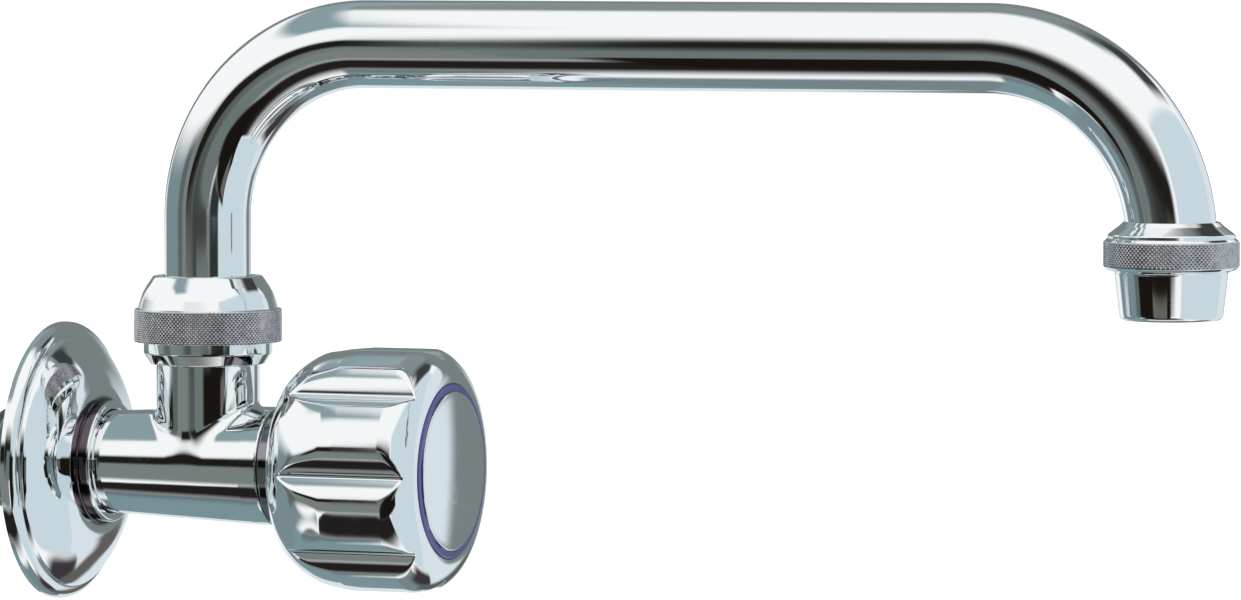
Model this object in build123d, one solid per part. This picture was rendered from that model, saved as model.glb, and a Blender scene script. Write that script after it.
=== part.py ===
"""Wall-mounted single kitchen tap with a swivel tube spout.

The tap screws into the wall by its threaded tail and stands straight out from it.
A hand knob on the front end turns a non-rising spindle, which draws the valve
carrier off its seat.  The water then turns up through the branch into a
swan-neck spout that swivels about the branch, and leaves through an aerator.

Frame, in millimetres: the origin is on the body's axis at the finished wall,
+X points out of the wall along the body, +Z points up.
"""
from build123d import *
import math
import os

# ---- fits ----------------------------------------------------------------------------
RUNNING = 0.05                  # radial clearance of parts that turn or slide
THREAD_FIT = 0.05               # radial clearance of screwed parts
SLIP = 0.15                     # radial clearance of parts that are only pushed on
MOVING_GAP = 0.4                # open gap between shapes that turn past each other
PLAY = 0.05                     # end play of parts that turn or slide
CUT_OVERRUN = 1.0               # how far groove cutters reach past the surface

# ---- tail and body casting, along X --------------------------------------------------
TAIL_THREAD_R = 20.955 / 2      # G 1/2 male thread, major radius
TAIL_LENGTH = 14.0              # engagement behind the wall face
TAIL_CHAMFER = 0.8
INLET_BORE_R = 6.0
BODY_LENGTH = 50.0              # wall to the face that the bonnet seals on
BODY_EDGE = 0.5
BARREL_REAR_R = 10.7            # barrel where it leaves the rose
BARREL_REAR_LENGTH = 13.0
BARREL_FRONT_R = 12.3           # barrel over the bonnet thread
BARREL_FRONT_LENGTH = 4.0
CHAMBER_R = 8.0
CHAMBER_DEPTH = 29.0            # front face to the floor that carries the seat
BONNET_THREAD_R = 8.33          # G 3/8, bore in the body
BONNET_THREAD_LENGTH = 12.0

# ---- branch, along Z -----------------------------------------------------------------
BRANCH_SETBACK = 16.0           # swivel axis behind the body's front face
BRANCH_R = 10.75
BRANCH_THREAD_R = 10.4775       # G 1/2 male, under the spout nut
BRANCH_SHOULDER_Z = 21.2
BRANCH_THREAD_LENGTH = 8.8
PORT_R = 6.5                    # waterway up into the branch
SOCKET_R = 8.0                  # bore that the spout bush turns in
SOCKET_DEPTH = 17.0

# ---- wall rose -----------------------------------------------------------------------
ROSE_R = 29.0
ROSE_SHEET = 0.8
ROSE_RIM_HEIGHT = 4.0           # height of the rolled rim off the wall
ROSE_RIM_ROUND = 1.5
ROSE_RIM_WIDTH = 1.7            # flat between the rim's outside and the dome
ROSE_DEPTH = 10.4               # highest point of the dome
ROSE_BEAD_R = 0.85              # bead around the neck opening
ROSE_BEAD_RISE = 1.3            # bead centre in front of the dome
GRIP_CORD_R = 0.8               # section radius of the rubber ring under the neck

# ---- valve seat, washer and carrier --------------------------------------------------
SEAT_FLANGE = 2.0
SEAT_LIP_HEIGHT = 1.0
SEAT_LIP_WIDTH = 0.7
SEAT_BORE_R = 4.4
WASHER_R = 5.35
WASHER_THICK = 3.0
WASHER_GAP = 0.1                # left at rest, so that nothing is squeezed
WASHER_BARE = 1.0               # washer in front of the carrier's rim
WASHER_PLATE_R = 3.6
WASHER_PLATE_THICK = 0.6
WASHER_SCREW_R = 1.5            # M3
WASHER_SCREW_HEAD_R = 2.6
WASHER_SCREW_HEAD = 1.4
WASHER_SCREW_SLOT = 0.8
CARRIER_R = 6.2
CARRIER_RIM = 0.55              # least wall of the cup around the washer
CARRIER_FLOOR = 1.3             # between the washer and the spindle thread
LIFT = 5.0                      # travel of the valve, wall to wide open

# ---- bonnet and trim -----------------------------------------------------------------
GASKET_THICK = 0.8
BONNET_FLANGE_R = 10.5
BONNET_FLANGE = 1.8
BONNET_HEX_AF = 17.0
BONNET_HEX_LENGTH = 5.4
BONNET_TURRET_R = 6.6
BONNET_TURRET_LENGTH = 4.0
SHOULDER_OFFSET = 0.5           # thrust shoulder in front of the body's face
TRIM_R = 12.1                   # plated ring that hides the bonnet flange
TRIM_LENGTH = 3.2
TRIM_EDGE = 0.6

# ---- spindle -------------------------------------------------------------------------
STEM_R = 4.0
STEM_THREAD_R = 3.0
STEM_THREAD_LENGTH = 14.5
STEM_POINT = 0.5
COLLAR_R = 5.4
COLLAR_THICK = 1.8
COLLAR_ROOM = 0.3               # radial room around the collar
STOP_GAP = 0.7                  # carrier to collar when wide open
THRUST_WASHER_THICK = 0.6
SPLINE_LENGTH = 11.0
SPLINE_TEETH = 20
SPLINE_DEPTH = 0.35
SPLINE_LEAD = 0.8               # plain stem between the circlip and the spline
GLAND_CORD_R = 0.7              # section radius of the gland O-rings
GLAND_RINGS = 2
GLAND_PITCH = 3.0
CIRCLIP_THICK = 0.8
CIRCLIP_R = 5.4
CIRCLIP_GAP_DEG = 50.0
CIRCLIP_GROOVE = 0.55

# ---- hand knob -----------------------------------------------------------------------
KNOB_R = 25.5
KNOB_LENGTH = 35.0
KNOB_LOBES = 8
KNOB_RIDGE_R = 25.2             # outermost radius of the lobes
LOBE_R = 9.5                    # radius of each rounded lobe
VALLEY_FILLET = 0.8
KNOB_BACK_R = 13.0
KNOB_BACK_BORE_R = 10.9
KNOB_WALL = 2.6                 # least wall behind the valleys
KNOB_BACK_WALL = 6.4
KNOB_SHOULDER = 6.5             # length of the rounded front shoulder
KNOB_WEB = 3.0
HUB_WALL = 2.2
INSERT_R = 6.6
INSERT_SETBACK = 0.3            # insert behind the start of the spline
RECESS_R = 14.8                 # room for the screw head and the cap's skirt
RECESS_DEPTH = 6.6
RING_SEAT_DEPTH = 2.9
RING_SEAT_R = 18.15
INDEX_RING_THICK = 3.2
CAP_R = 15.6
CAP_PROUD = 1.2                 # cap face in front of the knob's face
CAP_EDGE = 0.6
CAP_SKIRT_WALL = 1.4
CAP_SKIRT_LENGTH = 4.5
KNOB_SCREW_R = 1.95             # M4
KNOB_SCREW_GRIP = 7.0           # thread inside the spindle
KNOB_SCREW_TAP_DEPTH = 12.0
KNOB_SCREW_HEAD_R = 3.6
KNOB_SCREW_HEAD = 2.4
KNOB_SCREW_SLOT = 1.0
LOCK_WASHER_R = 4.0
LOCK_WASHER_THICK = 0.6

# ---- spout tube and swivel -----------------------------------------------------------
TUBE_R = 9.0
TUBE_WALL = 1.0
SPOUT_REACH = 208.0             # swivel axis to outlet axis
SPOUT_HEIGHT = 87.5             # body axis to the horizontal run's axis
BEND_R_BASE = 36.0
BEND_R_OUTLET = 38.0
OUTLET_STRAIGHT = 0.2
BUSH_FLANGE_R = 9.9
BUSH_FLANGE = 2.0
BUSH_BORE_R = 4.9
BUSH_TAIL_CLEAR = 1.0           # bush to the socket's floor
BUSH_SPIGOT = 7.0               # length brazed inside the tube
SLIP_WASHER_THICK = 0.8
SLIP_WASHER_R = 10.2
SWIVEL_CORD_R = 0.9             # section radius of the swivel O-rings
SWIVEL_RINGS = 2
SWIVEL_PITCH = 5.0
SWIVEL_FIRST = 4.0              # first O-ring above the bush's tail
RETAINER_R = 10.8
RETAINER_THICK = 1.6
RETAINER_GAP_DEG = 18.0

# ---- spout nut -----------------------------------------------------------------------
NUT_SKIRT_R = 13.4
NUT_SKIRT_CHAMFER = 2.0
NUT_KNURL_R = 15.4
NUT_KNURL_HEIGHT = 7.0
NUT_CONE_HEIGHT = 6.8
NUT_CONE_BASE_R = 14.6
NUT_TOP_R = 11.2
NUT_TOP_WALL = 4.8              # nut above the split ring
NUT_OVERLAP = 0.3               # skirt below the branch's shoulder
NUT_EDGE = 0.45
NUT_GROOVE_COUNT = 60
GROOVE_DEPTH = 0.3

# ---- aerator -------------------------------------------------------------------------
FERRULE_SLEEVE = 4.3            # ferrule up the tube
FERRULE_FLANGE_LIFT = 1.1       # flange underside above the tube's end
FERRULE_R = 12.6
FERRULE_DRAFT = 0.15
FERRULE_THREAD_R = 10.0
FERRULE_THREAD_LENGTH = 6.4
FERRULE_SLACK = 0.3             # room for the tube's last bit of bend
RING_R = 13.5
RING_HEIGHT = 4.9
RING_EDGE = 0.8
RING_GROOVE_COUNT = 56
NOZZLE_TOP_R = 11.2
NOZZLE_TOP_DROP = 1.9           # bevel under the knurled ring
NOZZLE_LENGTH = 9.4
NOZZLE_BOTTOM_R = 10.2
NOZZLE_EDGE = 1.2
NOZZLE_BORE_R = 9.0
NOZZLE_LEDGE = 1.4
NOZZLE_MOUTH_R = 8.0
SEAL_THICK = 1.2
INSERT_FIT = 0.1
INSERT_RIM = 0.8
PLATE_THICK = 1.4
PLATE_HOLE_R = 0.6
PLATE_INNER_R = 3.0             # pitch radius of the inner jet holes
PLATE_INNER_HOLES = 8
PLATE_OUTER_R = 6.0             # pitch radius of the outer jet holes
PLATE_OUTER_HOLES = 16
SCREEN_THICK = 0.3
SCREEN_GAP = 0.8
SCREEN_PITCH = 2.0
SCREEN_BAR = 0.5
STRAIGHTENER_HEIGHT = 3.4
STRAIGHTENER_RIB = 0.5
STRAIGHTENER_RIBS = 12
STRAIGHTENER_HUB_R = 1.6

# ---- places worked out from the sizes above ------------------------------------------
branch_x = BODY_LENGTH - BRANCH_SETBACK
chamber_floor_x = BODY_LENGTH - CHAMBER_DEPTH
bonnet_rear_x = BODY_LENGTH - BONNET_THREAD_LENGTH
flange_x = BODY_LENGTH + GASKET_THICK
hex_x = flange_x + BONNET_FLANGE
turret_x = hex_x + BONNET_HEX_LENGTH
bonnet_end_x = turret_x + BONNET_TURRET_LENGTH
shoulder_x = BODY_LENGTH + SHOULDER_OFFSET
collar_front_x = shoulder_x - THRUST_WASHER_THICK - PLAY
collar_rear_x = collar_front_x - COLLAR_THICK
stem_rear_x = collar_rear_x - STEM_THREAD_LENGTH
circlip_x = bonnet_end_x + PLAY
spline_x = circlip_x + CIRCLIP_THICK + SPLINE_LEAD
spindle_end_x = spline_x + SPLINE_LENGTH

seat_face_x = chamber_floor_x + SEAT_FLANGE + SEAT_LIP_HEIGHT
washer_face_x = seat_face_x + WASHER_GAP
washer_back_x = washer_face_x + WASHER_THICK
carrier_rear_x = washer_face_x + WASHER_BARE
carrier_front_x = collar_rear_x - STOP_GAP - LIFT
carrier_flat = WASHER_R + CARRIER_RIM

knob_back_x = BODY_LENGTH + TRIM_LENGTH + MOVING_GAP
knob_front_x = knob_back_x + KNOB_LENGTH
knob_wide_x = knob_front_x - KNOB_SHOULDER
ring_seat_x = knob_front_x - RING_SEAT_DEPTH
web_front_x = ring_seat_x - RECESS_DEPTH
web_rear_x = web_front_x - KNOB_WEB
screw_hole_r = KNOB_SCREW_R + SLIP
cap_skirt_r = RECESS_R - SLIP

branch_top_z = BRANCH_SHOULDER_Z + BRANCH_THREAD_LENGTH
socket_floor_z = branch_top_z - SOCKET_DEPTH
bush_tail_z = socket_floor_z + BUSH_TAIL_CLEAR
bush_flange_z = branch_top_z + SLIP_WASHER_THICK
tube_start_z = bush_flange_z + BUSH_FLANGE
retainer_z = tube_start_z + PLAY
nut_shoulder_z = retainer_z + RETAINER_THICK + PLAY
nut_top_z = nut_shoulder_z + NUT_TOP_WALL
nut_knurl_top_z = nut_top_z - NUT_CONE_HEIGHT
nut_knurl_z = nut_knurl_top_z - NUT_KNURL_HEIGHT
nut_bottom_z = BRANCH_SHOULDER_Z - NUT_OVERLAP

outlet_x = branch_x + SPOUT_REACH
tube_end_z = SPOUT_HEIGHT - BEND_R_OUTLET - OUTLET_STRAIGHT
ferrule_top_z = tube_end_z + FERRULE_SLEEVE
ferrule_flange_z = tube_end_z + FERRULE_FLANGE_LIFT
ferrule_bottom_z = ferrule_flange_z - FERRULE_THREAD_LENGTH
ring_bottom_z = ferrule_flange_z - RING_HEIGHT
nozzle_top_z = ring_bottom_z - NOZZLE_TOP_DROP
nozzle_bottom_z = nozzle_top_z - NOZZLE_LENGTH
ledge_z = nozzle_bottom_z + NOZZLE_LEDGE
seal_z = ferrule_bottom_z - SEAL_THICK
screens_z = ledge_z + STRAIGHTENER_HEIGHT
plate_z = screens_z + 2 * SCREEN_THICK + SCREEN_GAP
aerator_insert_r = NOZZLE_BORE_R - INSERT_FIT


# ---- helpers -------------------------------------------------------------------------
def face_xz(*edges):
    """A flat face in the XZ plane from edges given in (x, z) coordinates."""
    return make_face(Plane.XZ * Curve(list(edges)))


def closed(points):
    """A closed polygon in the XZ plane."""
    return face_xz(*Polyline(*points, close=True).edges())


def turned_x(*points):
    """A solid turned about the body's axis; each point is (x, radius)."""
    return revolve(closed(points), Axis.X)


def turned_z(x, *points):
    """A solid turned about a vertical axis at x; each point is (radius, z)."""
    return Pos(x, 0, 0) * revolve(closed(points), Axis.Z)


def tube_x(r_out, r_in, x0, x1):
    """A plain ring or rod along X."""
    return turned_x((x0, r_in), (x1, r_in), (x1, r_out), (x0, r_out))


def tube_z(x, r_out, r_in, z0, z1):
    """A plain ring or rod along Z at x."""
    return turned_z(x, (r_in, z0), (r_out, z0), (r_out, z1), (r_in, z1))


def cord_ring_x(x, outer_r, cord_r):
    """A rubber ring around the X axis, given by its outer radius."""
    return Pos(x, 0, 0) * Rot(0, 90, 0) * Torus(outer_r - cord_r, cord_r)


def cord_ring_z(x, z, outer_r, cord_r):
    """A rubber ring around a vertical axis at x, given by its outer radius."""
    return Pos(x, 0, z) * Torus(outer_r - cord_r, cord_r)


def opening_wedge(length, angle):
    """A flat wedge along +X that opens a split ring by an angle."""
    half = length * math.tan(math.radians(angle / 2))
    return make_face(Polyline((0, 0), (length, half), (length, -half), close=True))


def polar(radius, angle):
    """A point on a circle, with the angle in degrees."""
    return (radius * math.cos(math.radians(angle)), radius * math.sin(math.radians(angle)))


def screw_slot(face_x, head, width, head_r):
    """The cutter for a driver slot, half as deep as the head, centred on the head's face."""
    return Pos(face_x, 0, 0) * Box(head, width, 3 * head_r)


def grip_grooves(x, radius, z0, z1, count, depth):
    """Upright V grooves around a ring at x."""
    half = math.pi * radius / count * 0.7
    notch = make_face(
        Polyline((radius - depth, 0), (radius + depth, half), (radius + depth, -half), close=True)
    )
    prism = Pos(0, 0, z0) * extrude(notch, z1 - z0)
    return [Pos(x, 0, 0) * Rot(0, 0, 360 / count * i) * prism for i in range(count)]


# ---- body and wall pieces ------------------------------------------------------------
def tap_body():
    outer = turned_x(
        (-TAIL_LENGTH, 0),
        (-TAIL_LENGTH, TAIL_THREAD_R - TAIL_CHAMFER),
        (-TAIL_LENGTH + TAIL_CHAMFER, TAIL_THREAD_R),
        (0, TAIL_THREAD_R),
        (0, BARREL_REAR_R),
        (BARREL_REAR_LENGTH, BARREL_REAR_R),
        (BODY_LENGTH - BARREL_FRONT_LENGTH, BARREL_FRONT_R),
        (BODY_LENGTH - BODY_EDGE, BARREL_FRONT_R),
        (BODY_LENGTH, BARREL_FRONT_R - BODY_EDGE),
        (BODY_LENGTH, 0),
    )
    branch = turned_z(
        branch_x,
        (0, 0),
        (BRANCH_R, 0),
        (BRANCH_R, BRANCH_SHOULDER_Z),
        (BRANCH_THREAD_R, BRANCH_SHOULDER_Z),
        (BRANCH_THREAD_R, branch_top_z),
        (0, branch_top_z),
    )
    waterway = turned_x(
        (-TAIL_LENGTH, 0),
        (-TAIL_LENGTH, INLET_BORE_R),
        (chamber_floor_x, INLET_BORE_R),
        (chamber_floor_x, CHAMBER_R),
        (bonnet_rear_x, CHAMBER_R),
        (bonnet_rear_x, BONNET_THREAD_R),
        (BODY_LENGTH, BONNET_THREAD_R),
        (BODY_LENGTH, 0),
    )
    branch_bore = turned_z(
        branch_x,
        (0, 0),
        (PORT_R, 0),
        (PORT_R, socket_floor_z),
        (SOCKET_R, socket_floor_z),
        (SOCKET_R, branch_top_z),
        (0, branch_top_z),
    )
    return outer + branch - waterway - branch_bore


def rose_dome_line(inset):
    """Dome and neck of the rose from the crease inwards, as (x, radius), moved in by inset."""
    crease_r = ROSE_R - ROSE_RIM_WIDTH
    rise = ROSE_DEPTH - ROSE_RIM_HEIGHT
    neck_r = BARREL_REAR_R + SLIP + 2 * ROSE_BEAD_R
    width = crease_r - neck_r
    line = (
        (ROSE_RIM_HEIGHT, crease_r),
        (ROSE_RIM_HEIGHT + 0.42 * rise, crease_r - 0.05 * width),
        (ROSE_RIM_HEIGHT + 0.72 * rise, crease_r - 0.18 * width),
        (ROSE_RIM_HEIGHT + 0.92 * rise, crease_r - 0.38 * width),
        (ROSE_DEPTH, crease_r - 0.64 * width),
        (ROSE_DEPTH - 0.05 * rise, crease_r - 0.86 * width),
        (ROSE_DEPTH + 0.02 * rise, neck_r),
    )
    moved = []
    for i, (x, r) in enumerate(line):
        x0, r0 = line[max(i - 1, 0)]
        x1, r1 = line[min(i + 1, len(line) - 1)]
        run = math.hypot(x1 - x0, r1 - r0)
        moved.append((x - inset * (r0 - r1) / run, r - inset * (x1 - x0) / run))
    return moved


def wall_rose():
    outer_line = rose_dome_line(0)
    inner_line = rose_dome_line(ROSE_SHEET)
    bore = BARREL_REAR_R + SLIP
    bead_x = ROSE_DEPTH + ROSE_BEAD_RISE
    neck = outer_line[-1]
    inner_crease = inner_line[0]
    inner_neck = inner_line[-1]
    rim_bore = inner_crease[1]
    round_start = (ROSE_RIM_HEIGHT - ROSE_RIM_ROUND, ROSE_R)
    round_end = (ROSE_RIM_HEIGHT, ROSE_R - ROSE_RIM_ROUND)
    shell = face_xz(
        Line((0, rim_bore), (0, ROSE_R)),
        Line((0, ROSE_R), round_start),
        RadiusArc(round_start, round_end, -ROSE_RIM_ROUND),
        Line(round_end, outer_line[0]),
        Spline(*outer_line),
        Line(neck, (bead_x, neck[1])),
        Line((bead_x, neck[1]), (bead_x, bore)),
        Line((bead_x, bore), (inner_neck[0], bore)),
        Line((inner_neck[0], bore), inner_neck),
        Spline(*reversed(inner_line)),
        Line(inner_crease, (0, rim_bore)),
    )
    bead = cord_ring_x(bead_x, bore + 2 * ROSE_BEAD_R, ROSE_BEAD_R)
    return revolve(shell, Axis.X) + bead


def rose_grip_ring():
    underside_x = rose_dome_line(ROSE_SHEET)[-1][0]
    return cord_ring_x(underside_x - GRIP_CORD_R, BARREL_REAR_R + 2 * GRIP_CORD_R, GRIP_CORD_R)


# ---- valve seat and carrier ----------------------------------------------------------
def valve_seat():
    flange_front = seat_face_x - SEAT_LIP_HEIGHT
    lip_r = SEAT_BORE_R + SEAT_LIP_WIDTH
    return turned_x(
        (chamber_floor_x, SEAT_BORE_R),
        (chamber_floor_x, CHAMBER_R),
        (flange_front, CHAMBER_R),
        (flange_front, lip_r + SEAT_LIP_WIDTH),
        (seat_face_x, lip_r),
        (seat_face_x, SEAT_BORE_R),
    )


def guide_profile(clearance):
    """Round section with two flats that keep the carrier from turning."""
    across = 2 * (carrier_flat + clearance)
    return Circle(CARRIER_R + clearance) & Rectangle(3 * CARRIER_R, across)


def valve_carrier():
    length = carrier_front_x - carrier_rear_x
    block = extrude(Plane.YZ.offset(carrier_rear_x) * guide_profile(0), length)
    cup = tube_x(WASHER_R, 0, carrier_rear_x, washer_back_x)
    thread = tube_x(STEM_THREAD_R + RUNNING, 0, washer_back_x + CARRIER_FLOOR, carrier_front_x)
    screw_hole = tube_x(WASHER_SCREW_R, 0, washer_back_x, washer_back_x + CARRIER_FLOOR)
    return block - cup - thread - screw_hole


def valve_washer():
    return tube_x(WASHER_R, WASHER_SCREW_R, washer_face_x, washer_back_x)


def washer_plate():
    return tube_x(WASHER_PLATE_R, WASHER_SCREW_R, washer_face_x - WASHER_PLATE_THICK, washer_face_x)


def washer_screw():
    head_front = washer_face_x - WASHER_PLATE_THICK
    tip = washer_back_x + CARRIER_FLOOR - PLAY
    head_rear = head_front - WASHER_SCREW_HEAD
    head = tube_x(WASHER_SCREW_HEAD_R, 0, head_rear, head_front)
    slot = screw_slot(head_rear, WASHER_SCREW_HEAD, WASHER_SCREW_SLOT, WASHER_SCREW_HEAD_R)
    shank = tube_x(WASHER_SCREW_R - THREAD_FIT, 0, head_front, tip)
    return head + shank - slot


# ---- bonnet and its pieces -----------------------------------------------------------
def bonnet():
    turned = turned_x(
        (bonnet_rear_x, 0),
        (bonnet_rear_x, BONNET_THREAD_R - THREAD_FIT),
        (flange_x, BONNET_THREAD_R - THREAD_FIT),
        (flange_x, BONNET_FLANGE_R),
        (hex_x, BONNET_FLANGE_R),
        (hex_x, BONNET_TURRET_R),
        (bonnet_end_x, BONNET_TURRET_R),
        (bonnet_end_x, 0),
    )
    hexagon = RegularPolygon(BONNET_HEX_AF / 2, 6, major_radius=False)
    hex_block = extrude(Plane.YZ.offset(hex_x) * hexagon, BONNET_HEX_LENGTH)
    collar_room_x = collar_rear_x - PLAY
    guide = extrude(Plane.YZ.offset(bonnet_rear_x) * guide_profile(RUNNING), collar_room_x - bonnet_rear_x)
    collar_room = tube_x(COLLAR_R + COLLAR_ROOM, 0, collar_room_x, shoulder_x)
    gland = tube_x(STEM_R + RUNNING, 0, shoulder_x, bonnet_end_x)
    return turned + hex_block - guide - collar_room - gland


def bonnet_gasket():
    return tube_x(BONNET_FLANGE_R, BONNET_THREAD_R, BODY_LENGTH, flange_x)


def trim_ring():
    front = BODY_LENGTH + TRIM_LENGTH
    bore = BONNET_FLANGE_R + SLIP
    return turned_x(
        (BODY_LENGTH, bore),
        (BODY_LENGTH, TRIM_R - TRIM_EDGE),
        (BODY_LENGTH + TRIM_EDGE, TRIM_R),
        (front - TRIM_EDGE, TRIM_R),
        (front, TRIM_R - TRIM_EDGE),
        (front, bore),
    )


# ---- spindle -------------------------------------------------------------------------
def gland_ring_places():
    middle = (shoulder_x + bonnet_end_x) / 2
    first = middle - GLAND_PITCH * (GLAND_RINGS - 1) / 2
    return [first + GLAND_PITCH * i for i in range(GLAND_RINGS)]


def spindle():
    stem = turned_x(
        (stem_rear_x, 0),
        (stem_rear_x, STEM_THREAD_R - STEM_POINT),
        (stem_rear_x + STEM_POINT, STEM_THREAD_R),
        (collar_rear_x, STEM_THREAD_R),
        (collar_rear_x, COLLAR_R),
        (collar_front_x, COLLAR_R),
        (collar_front_x, STEM_R),
        (spindle_end_x, STEM_R),
        (spindle_end_x, 0),
    )
    groove_half = GLAND_CORD_R + PLAY
    cutter_r = STEM_R + CUT_OVERRUN
    for x in gland_ring_places():
        stem -= tube_x(cutter_r, STEM_R - 2 * GLAND_CORD_R, x - groove_half, x + groove_half)
    stem -= tube_x(cutter_r, STEM_R - CIRCLIP_GROOVE, circlip_x, circlip_x + CIRCLIP_THICK)
    stem -= tube_x(KNOB_SCREW_R + THREAD_FIT, 0, spindle_end_x - KNOB_SCREW_TAP_DEPTH, spindle_end_x)
    half = math.pi * STEM_R / SPLINE_TEETH
    notch = make_face(
        Polyline(
            (STEM_R - SPLINE_DEPTH, 0),
            (STEM_R + SPLINE_DEPTH, half),
            (STEM_R + SPLINE_DEPTH, -half),
            close=True,
        )
    )
    cutter = extrude(Plane.YZ.offset(spline_x) * notch, SPLINE_LENGTH)
    return stem - [Rot(360 / SPLINE_TEETH * i, 0, 0) * cutter for i in range(SPLINE_TEETH)]


def spindle_o_rings():
    return Compound([cord_ring_x(x, STEM_R, GLAND_CORD_R) for x in gland_ring_places()])


def spindle_thrust_washer():
    return tube_x(COLLAR_R, STEM_R + RUNNING, collar_front_x, collar_front_x + THRUST_WASHER_THICK)


def spindle_circlip():
    ring = Circle(CIRCLIP_R) - Circle(STEM_R - CIRCLIP_GROOVE) - opening_wedge(2 * CIRCLIP_R, CIRCLIP_GAP_DEG)
    return extrude(Plane.YZ.offset(circlip_x) * ring, CIRCLIP_THICK)


# ---- hand knob -----------------------------------------------------------------------
def knob_section():
    """Lobed section across the knob, one valley facing -Y and one facing up."""
    centre_r = KNOB_RIDGE_R - LOBE_R
    step = 360 / KNOB_LOBES
    section = Circle(centre_r)
    for i in range(KNOB_LOBES):
        section += Pos(*polar(centre_r, step * (i + 0.5))) * Circle(LOBE_R)
    valleys = [v for v in section.vertices() if abs(v.center().length) > centre_r]
    return fillet(valleys, VALLEY_FILLET)


def knob_valley_r():
    """Radius of the sharp valley between two lobes, before its fillet."""
    centre_r = KNOB_RIDGE_R - LOBE_R
    half_step = math.radians(180 / KNOB_LOBES)
    reach = centre_r * math.cos(half_step)
    return reach + math.sqrt(reach ** 2 - centre_r ** 2 + LOBE_R ** 2)


def knob_shell():
    back = (knob_back_x, KNOB_BACK_R)
    widest = (knob_back_x + 0.45 * KNOB_LENGTH, KNOB_R)
    wide_end = (knob_wide_x, KNOB_R)
    face_edge = (knob_front_x, RING_SEAT_R)
    half_drop = math.sqrt(0.5)
    mid_shoulder = (
        knob_wide_x + KNOB_SHOULDER * half_drop,
        RING_SEAT_R + (KNOB_R - RING_SEAT_R) * half_drop,
    )
    profile = face_xz(
        Line((knob_back_x, 0), back),
        Spline(
            back,
            (knob_back_x + 0.09 * KNOB_LENGTH, KNOB_BACK_R + 0.62 * (KNOB_R - KNOB_BACK_R)),
            (knob_back_x + 0.24 * KNOB_LENGTH, KNOB_BACK_R + 0.88 * (KNOB_R - KNOB_BACK_R)),
            widest,
            tangents=((0.25, 1), (1, 0)),
        ),
        Line(widest, wide_end),
        Spline(wide_end, mid_shoulder, face_edge, tangents=((1, 0), (0, -1))),
        Line(face_edge, (knob_front_x, 0)),
        Line((knob_front_x, 0), (knob_back_x, 0)),
    )
    prism = extrude(Plane.YZ.offset(knob_back_x) * knob_section(), KNOB_LENGTH)
    cavity_r = knob_valley_r() - KNOB_WALL
    cavity_x = knob_back_x + KNOB_BACK_WALL
    hub_r = INSERT_R + HUB_WALL
    hub_x = spline_x + INSERT_SETBACK
    back_bore = tube_x(KNOB_BACK_BORE_R, 0, knob_back_x, hub_x)
    cavity = tube_x(cavity_r, hub_r, cavity_x, web_rear_x) + tube_x(cavity_r, 0, cavity_x, hub_x)
    insert_pocket = tube_x(INSERT_R, 0, hub_x, web_rear_x)
    screw_hole = tube_x(screw_hole_r, 0, web_rear_x, web_front_x)
    recess = tube_x(RECESS_R, 0, web_front_x, ring_seat_x)
    ring_seat = tube_x(RING_SEAT_R, 0, ring_seat_x, knob_front_x)
    solid = revolve(profile, Axis.X) & prism
    return solid - (back_bore + cavity) - insert_pocket - screw_hole - recess - ring_seat


def knob_insert():
    insert_x = spline_x + INSERT_SETBACK
    front = tube_x(INSERT_R, 0, insert_x, web_rear_x)
    bore = tube_x(STEM_R + RUNNING, 0, insert_x, spindle_end_x + PLAY)
    hole = tube_x(screw_hole_r, 0, spindle_end_x + PLAY, web_rear_x)
    return front - bore - hole


def knob_index_ring():
    return tube_x(RING_SEAT_R - RUNNING, CAP_R + SLIP, ring_seat_x, ring_seat_x + INDEX_RING_THICK)


def knob_cap():
    face_x = knob_front_x + CAP_PROUD
    skirt_x = ring_seat_x - CAP_SKIRT_LENGTH
    return turned_x(
        (face_x, 0),
        (face_x, CAP_R - CAP_EDGE),
        (face_x - CAP_EDGE, CAP_R),
        (ring_seat_x, CAP_R),
        (ring_seat_x, cap_skirt_r),
        (skirt_x, cap_skirt_r),
        (skirt_x, cap_skirt_r - CAP_SKIRT_WALL),
        (ring_seat_x, cap_skirt_r - CAP_SKIRT_WALL),
        (ring_seat_x, 0),
    )


def knob_screw():
    seat = web_front_x + LOCK_WASHER_THICK
    head = tube_x(KNOB_SCREW_HEAD_R, 0, seat, seat + KNOB_SCREW_HEAD)
    shank = tube_x(KNOB_SCREW_R, 0, spindle_end_x - KNOB_SCREW_GRIP, seat)
    slot = screw_slot(seat + KNOB_SCREW_HEAD, KNOB_SCREW_HEAD, KNOB_SCREW_SLOT, KNOB_SCREW_HEAD_R)
    return head + shank - slot


def knob_lock_washer():
    return tube_x(LOCK_WASHER_R, screw_hole_r, web_front_x, web_front_x + LOCK_WASHER_THICK)


# ---- spout and swivel ----------------------------------------------------------------
def spout_tube():
    path = Plane.XZ * FilletPolyline(
        (branch_x, tube_start_z),
        (branch_x, SPOUT_HEIGHT),
        (outlet_x, SPOUT_HEIGHT),
        (outlet_x, tube_end_z),
        radius=[BEND_R_BASE, BEND_R_OUTLET],
    )
    section = Pos(branch_x, 0, tube_start_z) * (Circle(TUBE_R) - Circle(TUBE_R - TUBE_WALL))
    return sweep(section, path)


def swivel_ring_places():
    return [bush_tail_z + SWIVEL_FIRST + SWIVEL_PITCH * i for i in range(SWIVEL_RINGS)]


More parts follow.
